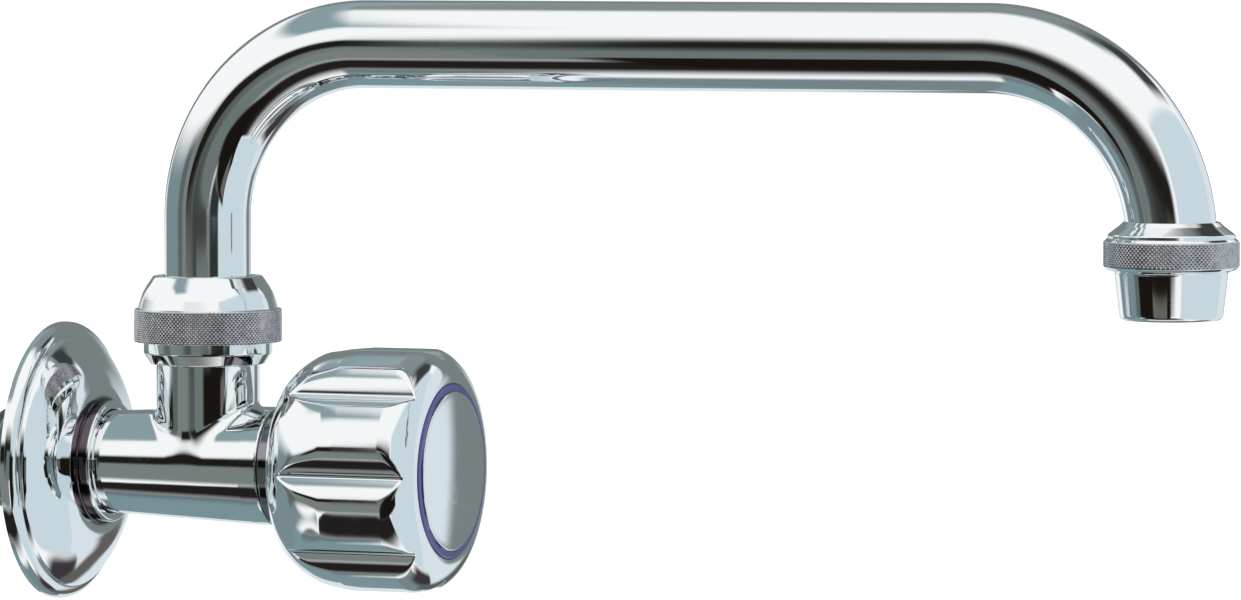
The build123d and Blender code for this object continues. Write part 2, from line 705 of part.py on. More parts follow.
def spout_bush():
    tail_r = SOCKET_R - RUNNING
    spigot_r = TUBE_R - TUBE_WALL - RUNNING
    bush = turned_z(
        branch_x,
        (BUSH_BORE_R, bush_tail_z),
        (tail_r, bush_tail_z),
        (tail_r, bush_flange_z),
        (BUSH_FLANGE_R, bush_flange_z),
        (BUSH_FLANGE_R, tube_start_z),
        (spigot_r, tube_start_z),
        (spigot_r, tube_start_z + BUSH_SPIGOT),
        (BUSH_BORE_R, tube_start_z + BUSH_SPIGOT),
    )
    groove_half = SWIVEL_CORD_R + PLAY
    groove_r = tail_r - 2 * SWIVEL_CORD_R
    for z in swivel_ring_places():
        bush -= tube_z(branch_x, tail_r + CUT_OVERRUN, groove_r, z - groove_half, z + groove_half)
    return bush


def spout_o_rings():
    outer_r = SOCKET_R - RUNNING
    return Compound([cord_ring_z(branch_x, z, outer_r, SWIVEL_CORD_R) for z in swivel_ring_places()])


def spout_slip_washer():
    return tube_z(branch_x, SLIP_WASHER_R, SOCKET_R + SLIP, branch_top_z, bush_flange_z)


def spout_retaining_ring():
    ring = Circle(RETAINER_R) - Circle(TUBE_R + RUNNING) - opening_wedge(2 * RETAINER_R, RETAINER_GAP_DEG)
    return Pos(branch_x, 0, retainer_z) * extrude(ring, RETAINER_THICK)


def spout_nut():
    thread_r = BRANCH_THREAD_R + THREAD_FIT
    mouth_r = BRANCH_R + MOVING_GAP
    ring_room_r = RETAINER_R + SLIP
    neck_r = TUBE_R + MOVING_GAP
    cone_run = NUT_CONE_BASE_R - NUT_TOP_R
    nut = turned_z(
        branch_x,
        (mouth_r, nut_bottom_z),
        (NUT_SKIRT_R - NUT_SKIRT_CHAMFER, nut_bottom_z),
        (NUT_SKIRT_R, nut_bottom_z + NUT_SKIRT_CHAMFER),
        (NUT_SKIRT_R, nut_knurl_z),
        (NUT_KNURL_R - NUT_EDGE, nut_knurl_z),
        (NUT_KNURL_R, nut_knurl_z + NUT_EDGE),
        (NUT_KNURL_R, nut_knurl_top_z - NUT_EDGE),
        (NUT_KNURL_R - NUT_EDGE, nut_knurl_top_z),
        (NUT_CONE_BASE_R, nut_knurl_top_z),
        (NUT_TOP_R + 0.75 * cone_run, nut_knurl_top_z + 0.5 * NUT_CONE_HEIGHT),
        (NUT_TOP_R + 0.35 * cone_run, nut_knurl_top_z + 0.85 * NUT_CONE_HEIGHT),
        (NUT_TOP_R, nut_top_z),
        (neck_r, nut_top_z),
        (neck_r, nut_shoulder_z),
        (ring_room_r, nut_shoulder_z),
        (ring_room_r, retainer_z - SLIP),
        (thread_r, retainer_z - SLIP),
        (thread_r, BRANCH_SHOULDER_Z + MOVING_GAP),
        (mouth_r, BRANCH_SHOULDER_Z + MOVING_GAP),
    )
    grooves = grip_grooves(
        branch_x,
        NUT_KNURL_R,
        nut_knurl_z + NUT_EDGE,
        nut_knurl_top_z - NUT_EDGE,
        NUT_GROOVE_COUNT,
        GROOVE_DEPTH,
    )
    return nut - grooves


# ---- aerator -------------------------------------------------------------------------
def aerator_ferrule():
    bore_r = TUBE_R + FERRULE_SLACK
    tube_bore_r = TUBE_R - TUBE_WALL
    sleeve = FERRULE_SLEEVE - FERRULE_FLANGE_LIFT
    return turned_z(
        outlet_x,
        (tube_bore_r, ferrule_bottom_z),
        (FERRULE_THREAD_R, ferrule_bottom_z),
        (FERRULE_THREAD_R, ferrule_flange_z),
        (FERRULE_R, ferrule_flange_z),
        (FERRULE_R - FERRULE_DRAFT, ferrule_flange_z + 0.2 * sleeve),
        (bore_r + 0.7 * (FERRULE_R - bore_r), ferrule_flange_z + 0.5 * sleeve),
        (bore_r + 0.3 * (FERRULE_R - bore_r), ferrule_flange_z + 0.85 * sleeve),
        (bore_r + SLIP, ferrule_top_z),
        (bore_r, ferrule_top_z),
        (bore_r, tube_end_z),
        (tube_bore_r, tube_end_z),
    )


def aerator_housing():
    thread_r = FERRULE_THREAD_R + THREAD_FIT
    top_z = ferrule_flange_z
    housing = turned_z(
        outlet_x,
        (NOZZLE_MOUTH_R, nozzle_bottom_z),
        (NOZZLE_BOTTOM_R - NOZZLE_EDGE, nozzle_bottom_z),
        (NOZZLE_BOTTOM_R - 0.3 * NOZZLE_EDGE, nozzle_bottom_z + 0.3 * NOZZLE_EDGE),
        (NOZZLE_BOTTOM_R, nozzle_bottom_z + NOZZLE_EDGE),
        (NOZZLE_TOP_R, nozzle_top_z),
        (NOZZLE_TOP_R, nozzle_top_z + 0.2 * NOZZLE_TOP_DROP),
        (RING_R - RING_EDGE, ring_bottom_z),
        (RING_R, ring_bottom_z + RING_EDGE),
        (RING_R, top_z - RING_EDGE),
        (RING_R - RING_EDGE, top_z),
        (thread_r, top_z),
        (thread_r, seal_z),
        (NOZZLE_BORE_R, seal_z),
        (NOZZLE_BORE_R, ledge_z),
        (NOZZLE_MOUTH_R, ledge_z),
    )
    grooves = grip_grooves(
        outlet_x, RING_R, ring_bottom_z + RING_EDGE, top_z - RING_EDGE, RING_GROOVE_COUNT, GROOVE_DEPTH
    )
    return housing - grooves


def aerator_seal():
    return tube_z(outlet_x, FERRULE_THREAD_R, TUBE_R - TUBE_WALL, seal_z, ferrule_bottom_z)


def aerator_jet_plate():
    plate = tube_z(outlet_x, aerator_insert_r, 0, seal_z - PLATE_THICK, seal_z)
    rim_r = aerator_insert_r - INSERT_RIM
    rim = tube_z(outlet_x, aerator_insert_r, rim_r, plate_z, seal_z - PLATE_THICK)
    hole = tube_z(outlet_x, PLATE_HOLE_R, 0, plate_z, seal_z)
    rings = ((PLATE_INNER_R, PLATE_INNER_HOLES), (PLATE_OUTER_R, PLATE_OUTER_HOLES))
    holes = [Pos(*polar(pitch_r, 360 / count * i)) * hole for pitch_r, count in rings for i in range(count)]
    return plate + rim - holes


def aerator_screens():
    """Two woven discs, drawn as flat nets, with a spacer ring between them."""
    net_r = aerator_insert_r - INSERT_RIM
    steps = int(net_r / SCREEN_PITCH) + 1
    reach = net_r - SCREEN_PITCH / 2
    hole = Rectangle(SCREEN_PITCH - SCREEN_BAR, SCREEN_PITCH - SCREEN_BAR)
    places = [
        (i * SCREEN_PITCH, j * SCREEN_PITCH)
        for i in range(-steps, steps + 1)
        for j in range(-steps, steps + 1)
        if math.hypot(i, j) * SCREEN_PITCH < reach
    ]
    net = extrude(Circle(aerator_insert_r) - [Pos(*p) * hole for p in places], SCREEN_THICK)
    upper_z = screens_z + SCREEN_THICK + SCREEN_GAP
    spacer = tube_z(outlet_x, aerator_insert_r, net_r, screens_z + SCREEN_THICK, upper_z)
    lower = Pos(outlet_x, 0, screens_z) * net
    upper = Pos(outlet_x, 0, upper_z) * net
    return Compound([lower, spacer, upper])


def aerator_straightener():
    bore_r = aerator_insert_r - INSERT_RIM
    section = Circle(aerator_insert_r) - Circle(bore_r) + Circle(STRAIGHTENER_HUB_R)
    middle_r = (bore_r + STRAIGHTENER_HUB_R) / 2
    length = bore_r - STRAIGHTENER_HUB_R + INSERT_RIM
    for i in range(STRAIGHTENER_RIBS):
        angle = 360 / STRAIGHTENER_RIBS * i
        section += Pos(*polar(middle_r, angle)) * Rot(0, 0, angle) * Rectangle(length, STRAIGHTENER_RIB)
    return Pos(outlet_x, 0, ledge_z) * extrude(section, STRAIGHTENER_HEIGHT)


# ---- every node ----------------------------------------------------------------------
NODES = (
    tap_body,
    wall_rose,
    rose_grip_ring,
    valve_seat,
    bonnet,
    bonnet_gasket,
    trim_ring,
    spindle_thrust_washer,
    spout_nut,
    spout_retaining_ring,
    spout_slip_washer,
    spindle,
    spindle_o_rings,
    spindle_circlip,
    knob_shell,
    knob_insert,
    knob_index_ring,
    knob_cap,
    knob_screw,
    knob_lock_washer,
    valve_carrier,
    valve_washer,
    washer_plate,
    washer_screw,
    spout_tube,
    spout_bush,
    spout_o_rings,
    aerator_ferrule,
    aerator_housing,
    aerator_seal,
    aerator_jet_plate,
    aerator_screens,
    aerator_straightener,
)

os.makedirs("parts", exist_ok=True)
for make in NODES:
    export_step(make(), f"parts/{make.__name__}.step")
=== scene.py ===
import math

import bmesh
import bpy
import numpy as np
from bpy.props import FloatProperty, FloatVectorProperty, IntProperty, PointerProperty
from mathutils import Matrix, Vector


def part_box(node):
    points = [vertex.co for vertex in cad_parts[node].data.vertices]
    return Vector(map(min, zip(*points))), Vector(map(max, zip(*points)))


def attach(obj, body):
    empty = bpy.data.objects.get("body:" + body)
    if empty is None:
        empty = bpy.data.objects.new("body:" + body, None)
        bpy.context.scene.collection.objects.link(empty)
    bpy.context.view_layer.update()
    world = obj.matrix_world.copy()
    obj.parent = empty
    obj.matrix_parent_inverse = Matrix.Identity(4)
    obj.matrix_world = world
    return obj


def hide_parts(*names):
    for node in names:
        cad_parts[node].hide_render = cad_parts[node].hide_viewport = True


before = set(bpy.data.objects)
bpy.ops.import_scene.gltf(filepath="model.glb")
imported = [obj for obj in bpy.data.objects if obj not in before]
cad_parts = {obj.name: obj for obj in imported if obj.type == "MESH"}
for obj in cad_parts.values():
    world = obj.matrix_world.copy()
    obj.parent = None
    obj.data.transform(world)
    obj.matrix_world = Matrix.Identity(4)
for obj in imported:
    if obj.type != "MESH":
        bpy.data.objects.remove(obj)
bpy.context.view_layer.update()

bl_info = {
    "name": "Wall Tap Studio",
    "version": (1, 0, 0),
    "blender": (4, 5, 0),
    "location": "View3D > Sidebar > Wall Tap",
    "description": "Builds the plated pieces, finishes and studio of a single wall tap",
    "category": "Add Mesh",
}

MM = 0.001


# ---- sizes read from the frame ------------------------------------------------
def low(node, axis):
    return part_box(node)[0]["xyz".index(axis)]


def high(node, axis):
    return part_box(node)[1]["xyz".index(axis)]


def span(node, axis):
    return low(node, axis), high(node, axis)


def middle(node, axis):
    return sum(span(node, axis)) / 2


BRANCH_X = middle("spout_slip_washer", "x")
OUTLET_X = middle("aerator_seal", "x")
TUBE_R = high("spout_tube", "y")
RUN_Z = high("spout_tube", "z") - TUBE_R
TAIL_R = 20.955 / 2 * MM


# ---- properties ----------------------------------------------------------------
def size(name, text, mm):
    """A length, whose default is given in millimetres."""
    return FloatProperty(name=name, description=text, default=mm * MM, unit="LENGTH", precision=5)


def amount(name, text, default, top=1.0):
    return FloatProperty(name=name, description=text, default=default, min=0.0, max=top)


def count(name, text, default, least):
    return IntProperty(name=name, description=text, default=default, min=least)


def angle(name, text, degrees):
    turn = math.radians(degrees)
    return FloatProperty(name=name, description=text, default=turn, subtype="ANGLE")


def colour(name, text, default):
    return FloatVectorProperty(
        name=name, description=text, default=default, subtype="COLOR", min=0, max=1,
    )


class TapBodySizes(bpy.types.PropertyGroup):
    rear_r: size("Rear radius", "Barrel radius where it leaves the rose", 10.7)
    front_r: size("Front radius", "Barrel radius over the bonnet", high("tap_body", "y") / MM)
    taper_start: size("Taper start", "Distance from the wall to the start of the taper", 13.0)
    taper_end: size("Taper end", "Distance from the wall to the end of the taper", 46.0)
    branch_r: size("Branch radius", "Radius of the upright branch", 10.75)
    shoulder_z: size("Branch shoulder", "Height of the shoulder under the nut", 21.2)
    fillet: size("Fillet", "Cast fillet between the barrel and the branch", 1.6)
    grain: size("Mesh grain", "Cell size of the cast mesh", 0.36)
    thread_pitch: size("Thread pitch", "Pitch of the tail thread, 14 turns to the inch", 1.814)
    thread_depth: size("Thread depth", "Depth of the tail thread", 1.0)
    bore_r: size("Bore radius", "Radius of the waterway in the tail", 6.0)


class RoseSizes(bpy.types.PropertyGroup):
    radius: size("Radius", "Outside radius of the rose", high("wall_rose", "z") / MM)
    sheet: size("Sheet", "Thickness of the spun sheet", 0.8)
    rim_height: size("Rim height", "Height of the rolled rim off the wall", 3.3)
    rim_round: size("Rim round", "Radius on the rim's outer edge", 2.4)
    rim_width: size("Rim width", "Rolled rim between its edge and the dome", 2.5)
    depth: size("Depth", "Distance of the dome's top from the wall", 9.7)
    collar_r: size("Collar", "Outside radius of the collar around the neck", 12.7)
    collar_x: size("Collar front", "Front of the collar off the wall", 12.5)
    lip: size("Lip", "Round on the collar's front edge", 0.6)


class KnobSizes(bpy.types.PropertyGroup):
    radius: size("Radius", "Radius of the round blank", 25.5)
    ridge_r: size("Ridge radius", "Outermost radius of the lobes", 26.2)
    lobe_r: size("Lobe radius", "Radius of each rounded lobe", 9.5)
    back_r: size("Back radius", "Radius of the blank's back face", 13.0)
    face_r: size("Face radius", "Radius of the seat for the index ring", 18.15)
    shoulder: size("Shoulder", "Length of the rounded front shoulder", 6.5)
    crease: size("Crease", "Softness of the edge between a flute and the blank", 0.5)
    crown: size("Crown", "Rise of the cap's face over its edge", 0.5)
    lip: size("Cap lip", "How far the cap's rolled edge reaches over the index ring", 0.8)
    lobes: count("Lobes", "Number of lobes around the knob", 8, 3)


class SpoutSizes(bpy.types.PropertyGroup):
    bend_base: size("First bend", "Centreline radius of the bend over the nut", 36.0)
    bend_outlet: size("Second bend", "Centreline radius of the bend over the outlet", 38.0)
    wall: size("Wall", "Thickness of the tube's wall", 1.0)
    sides: count("Sides", "Segments around the tube", 128, 16)
    steps: count("Bend steps", "Segments along each bend", 72, 8)


class KnurlSizes(bpy.types.PropertyGroup):
    height: size("Tooth height", "Height of a knurl tooth", 0.22)
    columns: count("Nut columns", "Teeth around the nut", 112, 8)
    rows: count("Nut rows", "Staggered rows of teeth on the nut", 15, 1)
    ring_columns: count("Ring columns", "Teeth around the aerator", 96, 8)
    ring_rows: count("Ring rows", "Rows of teeth on the aerator", 11, 1)


class FinishSizes(bpy.types.PropertyGroup):
    chrome: colour("Chrome", "Colour of the plating", (0.90, 0.92, 0.93))
    # Both knurl colours are darker than the plain plating: painted shade among the teeth.
    knurl: colour("Knurled chrome", "Lighter colour of the knurled bands", (0.60, 0.62, 0.62))
    knurl_painted_shade: colour("Knurl soil", "Darker colour of the knurled bands", (0.40, 0.37, 0.42))
    cap: colour("Cap", "Colour of the cap's plating", (0.90, 0.92, 0.94))
    tail: colour("Tail", "Colour of the thinly plated thread", (0.42, 0.43, 0.42))
    # Painted shade: the trim ring's plating is painted dark, standing for the shade and dark
    # reflection behind the knob.
    trim: colour("Trim ring", "Colour of the ring behind the knob", (0.30, 0.29, 0.31))
    # Painted shade: the dark colour painted into the corner behind the rose's collar.
    painted_shade: colour("Corner_shade", "Colour of the plating in tight corners", (0.13, 0.10, 0.12))
    ring: colour("Index ring", "Colour of the cold index ring", (0.045, 0.045, 0.24))
    brass: colour("Brass", "Colour of turned brass", (0.66, 0.49, 0.21))
    steel: colour("Stainless", "Colour of the stainless pieces", (0.60, 0.60, 0.59))
    rubber: colour("Rubber", "Colour of the seals", (0.022, 0.022, 0.024))
    nylon: colour("Nylon", "Colour of the nylon washers", (0.80, 0.79, 0.74))
    acetal: colour("Acetal", "Colour of the aerator's insert", (0.36, 0.38, 0.40))
    gloss: amount("Polish", "Roughness of the polished plating", 0.035)


class StageSizes(bpy.types.PropertyGroup):
    azimuth: angle("Azimuth", "Camera direction", 21.0)
    elevation: angle("Elevation", "Camera height angle", 3.1)
    distance: size("Distance", "Camera to the point it looks at", 1466.0)
    aim_side: size("Aim sideways", "The point it looks at, across the view", 117.43)
    aim_z: size("Aim height", "The point it looks at, above the body's axis", 33.48)
    lens: amount("Lens", "Focal length in millimetres for a 36 mm sensor", 203.06, 1000.0)
    floor_z: size("Floor", "Height of the floor", -130.0)
    daylight: amount("Soft light", "Strength of the all-round soft light", 0.85, 4.0)


GROUPS = (
    ("body", TapBodySizes),
    ("rose", RoseSizes),
    ("knob", KnobSizes),
    ("spout", SpoutSizes),
    ("knurl", KnurlSizes),
    ("finish", FinishSizes),
    ("stage", StageSizes),
)


class WallTapSettings(bpy.types.PropertyGroup):
    """All groups of sizes, each under its own name."""
    __annotations__ = {name: PointerProperty(type=group) for name, group in GROUPS}


def sizes(context, *names):
    return [getattr(context.scene.wall_tap, name) for name in names]


# ---- mesh helpers ---------------------------------------------------------------
ARC_STEP = math.radians(9)
SHARP = math.radians(40)
SUPPORT = 0.05 * MM
CLEAR = 0.15 * MM
MERGE = 1e-7
TURN_SIDES = 192


def rounded(corners):
    """A closed outline from (along, radius, round) corners; each round is a tangent arc.

    A point close beside each arc keeps the shading of the straights next to it flat.
    """
    spots = [np.array(c[:2], float) for c in corners]
    points = []
    for i, (*_, reach_r) in enumerate(corners):
        here = spots[i]
        if reach_r <= 0:
            points.append(here)
            continue
        back, ahead = spots[i - 1] - here, spots[(i + 1) % len(spots)] - here
        back_run, ahead_run = np.linalg.norm(back), np.linalg.norm(ahead)
        back, ahead = back / back_run, ahead / ahead_run
        inside = math.acos(np.clip(back @ ahead, -1, 1))
        reach = reach_r / math.tan(inside / 2)
        halfway = (back + ahead) / np.linalg.norm(back + ahead)
        centre = here + halfway * reach_r / math.sin(inside / 2)
        start = here + back * reach - centre
        turn = math.pi - inside
        if back[0] * ahead[1] - back[1] * ahead[0] > 0:
            turn = -turn
        steps = max(2, math.ceil(abs(turn) / ARC_STEP))
        points.append(here + back * min(reach + SUPPORT, back_run * 0.49))
        for k in range(steps + 1):
            c, s = math.cos(turn * k / steps), math.sin(turn * k / steps)
            points.append(centre + (start[0] * c - start[1] * s, start[0] * s + start[1] * c))
        points.append(here + ahead * min(reach + SUPPORT, ahead_run * 0.49))
    return np.array(points)


def quarter_round(x, radius, reach, steps):
    """A quarter circle at an outer edge, from along the surface to across it."""
    turn = np.linspace(0, math.pi / 2, steps)
    return np.stack([x + reach * np.sin(turn), radius + reach * np.cos(turn)], 1)


def smooth_line(knots, per_span=10):
    """A Catmull-Rom line through the knots."""
    k = np.array(knots, float)
    k = np.vstack([2 * k[0] - k[1], k, 2 * k[-1] - k[-2]])
    line = []
    for a, b, c, d in zip(k, k[1:], k[2:], k[3:]):
        for t in np.linspace(0, 1, per_span, endpoint=False):
            bend, twist = 2 * a - 5 * b + 4 * c - d, 3 * b - a - 3 * c + d
            line.append(0.5 * (2 * b + (c - a) * t + bend * t**2 + twist * t**3))
    return np.vstack([line, k[-2]])


def grid_faces(rows, columns):
    """Quads over a grid of points whose rows and columns both wrap round."""
    i, j = np.meshgrid(np.arange(rows), np.arange(columns), indexing="ij")
    up, side = (i + 1) % rows, (j + 1) % columns
    quads = [i * columns + j, i * columns + side, up * columns + side, up * columns + j]
    return np.stack(quads, -1).reshape(-1, 4)


def ring_angles(sides):
    return np.arange(sides) * 2 * math.pi / sides


def turned(outline, axis="z", x=0.0, sides=TURN_SIDES):
    """Points and quads of an outline of (along, radius), turned about X or an upright axis at x."""
    angle = ring_angles(sides)
    along = np.repeat(outline[:, :1], sides, 1)
    across, up = outline[:, 1:] * np.cos(angle), outline[:, 1:] * np.sin(angle)
    order = (along, across, up) if axis == "x" else (across + x, up, along)
    return np.stack(order, -1).reshape(-1, 3), grid_faces(len(outline), sides)


def signed_volume(points, faces):
    corners = points[faces]
    total = 0.0
    for k in range(1, faces.shape[1] - 1):
        total += np.einsum("ij,ij->", corners[:, 0], np.cross(corners[:, k], corners[:, k + 1]))
    return total


def solid_mesh(name, *shells):
    """One mesh from closed shells of (points, faces), each turned to face outwards."""
    mesh = bmesh.new()
    for points, faces in shells:
        if signed_volume(points, faces) < 0:
            faces = faces[:, ::-1]
        verts = [mesh.verts.new(p) for p in points]
        for face in faces.tolist():
            mesh.faces.new([verts[k] for k in face])
    bmesh.ops.remove_doubles(mesh, verts=mesh.verts, dist=MERGE)
    bmesh.ops.dissolve_degenerate(mesh, edges=mesh.edges, dist=MERGE)
    data = bpy.data.meshes.new(name)
    settle(mesh, data)
    return data


def settle(mesh, data):
    """Writes the edited mesh back, smooth but for its sharp edges."""
    mesh.to_mesh(data)
    mesh.free()
    data.shade_smooth()
    data.set_sharp_from_angle(angle=SHARP)


def show(name, shape, material, body, slot, *nodes):
    """Puts a mesh or closed shell in the scene, riding on its body and standing for its nodes."""
    data = solid_mesh(name, shape) if isinstance(shape, tuple) else shape
    piece = helper_object(name, data)
    data.materials.clear()
    data.materials.append(material)
    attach(piece, body)
    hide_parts(*nodes)
    return piece


def baked(name, source):
    """The evaluated geometry of a helper object as a plain mesh; the helper goes."""
    graph = bpy.context.evaluated_depsgraph_get()
    data = bpy.data.meshes.new_from_object(source.evaluated_get(graph), depsgraph=graph)
    data.name = name
    bpy.data.objects.remove(source)
    return data


def helper_object(name, data):
    made = bpy.data.objects.new(name, data)
    bpy.context.scene.collection.objects.link(made)
    return made


# ---- geometry node trees -----------------------------------------------------------
FLOAT, INT, VECTOR, COLOUR = ("NodeSocket" + kind for kind in ("Float", "Int", "Vector", "Color"))
GEOMETRY, MATERIAL = "NodeSocketGeometry", "NodeSocketMaterial"


class Tree:
    """Short calls for building a node tree from code."""

    def __init__(self, tree):
        self.tree = tree

    def node(self, kind, _inputs=None, **settings):
        made = self.tree.nodes.new(kind)
        for key, value in settings.items():
            setattr(made, key, value)
        for key, value in (_inputs or {}).items():
            self.feed(made.inputs[key], value)
        return made

    def feed(self, socket, value):
        if isinstance(value, bpy.types.NodeSocket):
            self.tree.links.new(value, socket)
        else:
            socket.default_value = value

    def out(self, kind, _inputs=None, **settings):
        """The first output of a new node."""
        return self.node(kind, _inputs, **settings).outputs[0]

    def math(self, operation, *values):
        return self.out("ShaderNodeMath", dict(enumerate(values)), operation=operation)

    def ramp(self, value, start, end, flip=False, kind="SMOOTHSTEP"):
        """0 to 1 as the value goes from start to end, or 1 to 0 when flipped."""
        return self.out("ShaderNodeMapRange", {
            "Value": value, "From Min": start, "From Max": end,
            "To Min": float(flip), "To Max": float(not flip),
        }, interpolation_type=kind)

    def noise(self, spot, scale, detail):
        return self.out("ShaderNodeTexNoise", {"Vector": spot, "Scale": scale, "Detail": detail})

    def blend(self, share, low_tone, high_tone):
        values = {0: share, 6: low_tone, 7: high_tone}
        return self.node("ShaderNodeMix", values, data_type="RGBA").outputs[2]

    def parts(self, vector):
        return self.node("ShaderNodeSeparateXYZ", {0: vector}).outputs

    def group(self, name, make, values):
        return self.node("ShaderNodeGroup", values, node_tree=kept(name, make)).outputs

    def surface(self, share, first, second, kind="Material"):
        mix = self.out("ShaderNodeMixShader", {0: share, 1: first, 2: second})
        self.node("ShaderNodeOutput" + kind, {"Surface": mix})

    def join(self, *geometry):
        made = self.node("GeometryNodeJoinGeometry")
        for part in geometry:
            self.tree.links.new(part, made.inputs[0])
        return made.outputs[0]


def kept(name, make):
    """The node group of that name, made on first use."""
    return bpy.data.node_groups.get(name) or make(name)


def fresh_nodes(owner):
    """The emptied node tree of a material or world."""
    owner.use_nodes = True
    owner.node_tree.nodes.clear()
    return Tree(owner.node_tree)


def new_tree(name, kind, inputs, outputs):
    """A node group with (label, socket kind, default) inputs and (label, socket kind) outputs."""
    tree = bpy.data.node_groups.new(name, kind)
    for label, socket_type, *default in inputs:
        socket = tree.interface.new_socket(label, in_out="INPUT", socket_type=socket_type)
        if default:
            socket.default_value = default[0]
    for label, socket_type in outputs:
        tree.interface.new_socket(label, in_out="OUTPUT", socket_type=socket_type)
    build = Tree(tree)
    return build, build.node("NodeGroupInput").outputs


def geometry_tree(name, inputs):
    sockets = (("Geometry", GEOMETRY), *inputs, ("Material", MATERIAL))
    return new_tree(name, "GeometryNodeTree", sockets, (("Geometry", GEOMETRY),))


def finish_geometry_tree(build, geometry, material):
    real = build.out("GeometryNodeRealizeInstances", {"Geometry": geometry})
    painted = build.out("GeometryNodeSetMaterial", {"Geometry": real, "Material": material})
    build.node("NodeGroupOutput", {"Geometry": painted})
    return build.tree


def run_geometry_tree(name, source, tree, values):
    """Runs a tree on a helper object and returns the plain mesh."""
    modifier = source.modifiers.new("Build", "NODES")
    modifier.node_group = tree
    for item in tree.interface.items_tree:
        if item.item_type == "SOCKET" and item.in_out == "INPUT" and item.name in values:
            modifier[item.identifier] = values[item.name]
    bpy.context.view_layer.update()
    return baked(name, source)


def knurl_tree(name):
    """Staggered pyramids around an upright band, added to the geometry that comes in."""
    build, given = geometry_tree(name, (
        ("Columns", INT), ("Rows", INT), ("Radius", FLOAT), ("Bottom", FLOAT),
        ("Row Pitch", FLOAT), ("Tooth Height", FLOAT), ("Axis X", FLOAT),
    ))
    m, columns, radius = build.math, given["Columns"], given["Radius"]
    line = build.out("GeometryNodeMeshLine", {"Count": m("MULTIPLY", columns, given["Rows"])})
    index = build.out("GeometryNodeInputIndex")
    column = m("MODULO", index, columns)
    row = m("FLOOR", m("DIVIDE", index, columns))
    stagger = m("MULTIPLY", m("MODULO", row, 2.0), 0.5)
    angle = m("DIVIDE", m("MULTIPLY", m("ADD", column, stagger), 2 * math.pi), columns)
    place = build.out("ShaderNodeCombineXYZ", {
        "X": m("ADD", m("MULTIPLY", m("COSINE", angle), radius), given["Axis X"]),
        "Y": m("MULTIPLY", m("SINE", angle), radius),
        "Z": m("ADD", given["Bottom"], m("MULTIPLY", row, given["Row Pitch"])),
    })
    spots = build.out("GeometryNodeSetPosition", {"Geometry": line, "Position": place})
    tooth = build.out("GeometryNodeMeshCone", {
        "Vertices": 4, "Radius Top": 0.0, "Radius Bottom": 1.0, "Depth": 1.0,
    })
    upright = build.out("GeometryNodeTransform", {
        "Geometry": tooth, "Rotation": (0.0, math.pi / 2, 0.0),
    })
    half_width = m("DIVIDE", m("MULTIPLY", radius, math.pi), columns)
    scale = build.out("ShaderNodeCombineXYZ", {
        "X": given["Tooth Height"], "Y": half_width, "Z": given["Row Pitch"],
    })
    turn = build.out("ShaderNodeCombineXYZ", {"Z": angle})
    teeth = build.out("GeometryNodeInstanceOnPoints", {
        "Points": spots, "Instance": upright, "Rotation": turn, "Scale": scale,
    })
    return finish_geometry_tree(build, build.join(teeth, given["Geometry"]), given["Material"])


def tube_tree(name):
    """A hollow tube along a line of corners, with a round at each inner corner."""
    build, given = geometry_tree(name, (
        ("First Bend", FLOAT), ("Second Bend", FLOAT), ("Radius", FLOAT), ("Wall", FLOAT),
        ("Sides", INT), ("Steps", INT),
    ))
    index = build.out("GeometryNodeInputIndex")
    first = build.out("FunctionNodeCompare", {2: index, 3: 1}, data_type="INT", operation="EQUAL")
    bend = build.out("GeometryNodeSwitch", {
        "Switch": first, "False": given["Second Bend"], "True": given["First Bend"],
    }, input_type="FLOAT")
    path = build.out("GeometryNodeFilletCurve", {
        "Curve": given["Geometry"], "Count": given["Steps"], "Radius": bend,
    }, mode="POLY")
    skins = []
    for inset in (0.0, given["Wall"]):
        ring = build.out("GeometryNodeCurvePrimitiveCircle", {
            "Resolution": given["Sides"], "Radius": build.math("SUBTRACT", given["Radius"], inset),
        })
        skins.append(build.out("GeometryNodeCurveToMesh", {"Curve": path, "Profile Curve": ring}))
    bore = build.out("GeometryNodeFlipFaces", {"Mesh": skins[1]})
    return finish_geometry_tree(build, build.join(skins[0], bore), given["Material"])


# ---- shader groups -----------------------------------------------------------------
# Features to the metre of the noises, and how much drop marks roughen the plating.
DROP_SCALE, PATCH_SCALE, KNURL_SHADE_SCALE = 160.0, 55.0, 900.0
WEAR_SCALE, CLOUD_SCALE, GRAIN_SCALE = 400.0, 140.0, 2200.0
DROP_ROUGH, HAZE_ROUGH = 0.08, 0.03


def shader_group(name, inputs, outputs):
    return new_tree(name, "ShaderNodeTree", (("Vector", VECTOR), *inputs), outputs)


def plating_group(name):
    """Relief and polish of plating: slow waves of the buffed metal and dried drop marks."""
    build, given = shader_group(name, (
        ("Wave Size", FLOAT, 0.012), ("Wave Height", FLOAT, 0.5), ("Roughness", FLOAT, 0.035),
        ("Marks", FLOAT, 0.5),
    ), (("Height", FLOAT), ("Roughness", FLOAT)))
    m, spot, marks = build.math, given["Vector"], given["Marks"]
    waves = build.noise(spot, m("DIVIDE", 1.0, given["Wave Size"]), 1.0)
    drops = build.out("ShaderNodeTexVoronoi", {
        "Vector": spot, "Scale": DROP_SCALE,
    }, feature="DISTANCE_TO_EDGE")
    drop_ring = build.ramp(drops, 0.02, 0.10, flip=True)
    patches = build.ramp(build.noise(spot, PATCH_SCALE, 3.0), 0.52, 0.72)
    mark = m("MULTIPLY", m("MULTIPLY", drop_ring, patches), marks)
    haze = m("MULTIPLY", patches, m("MULTIPLY", marks, HAZE_ROUGH))
    build.node("NodeGroupOutput", {
        "Height": m("MULTIPLY", waves, given["Wave Height"]),
        "Roughness": m("ADD", m("ADD", given["Roughness"], haze), m("MULTIPLY", mark, DROP_ROUGH)),
    })
    return build.tree


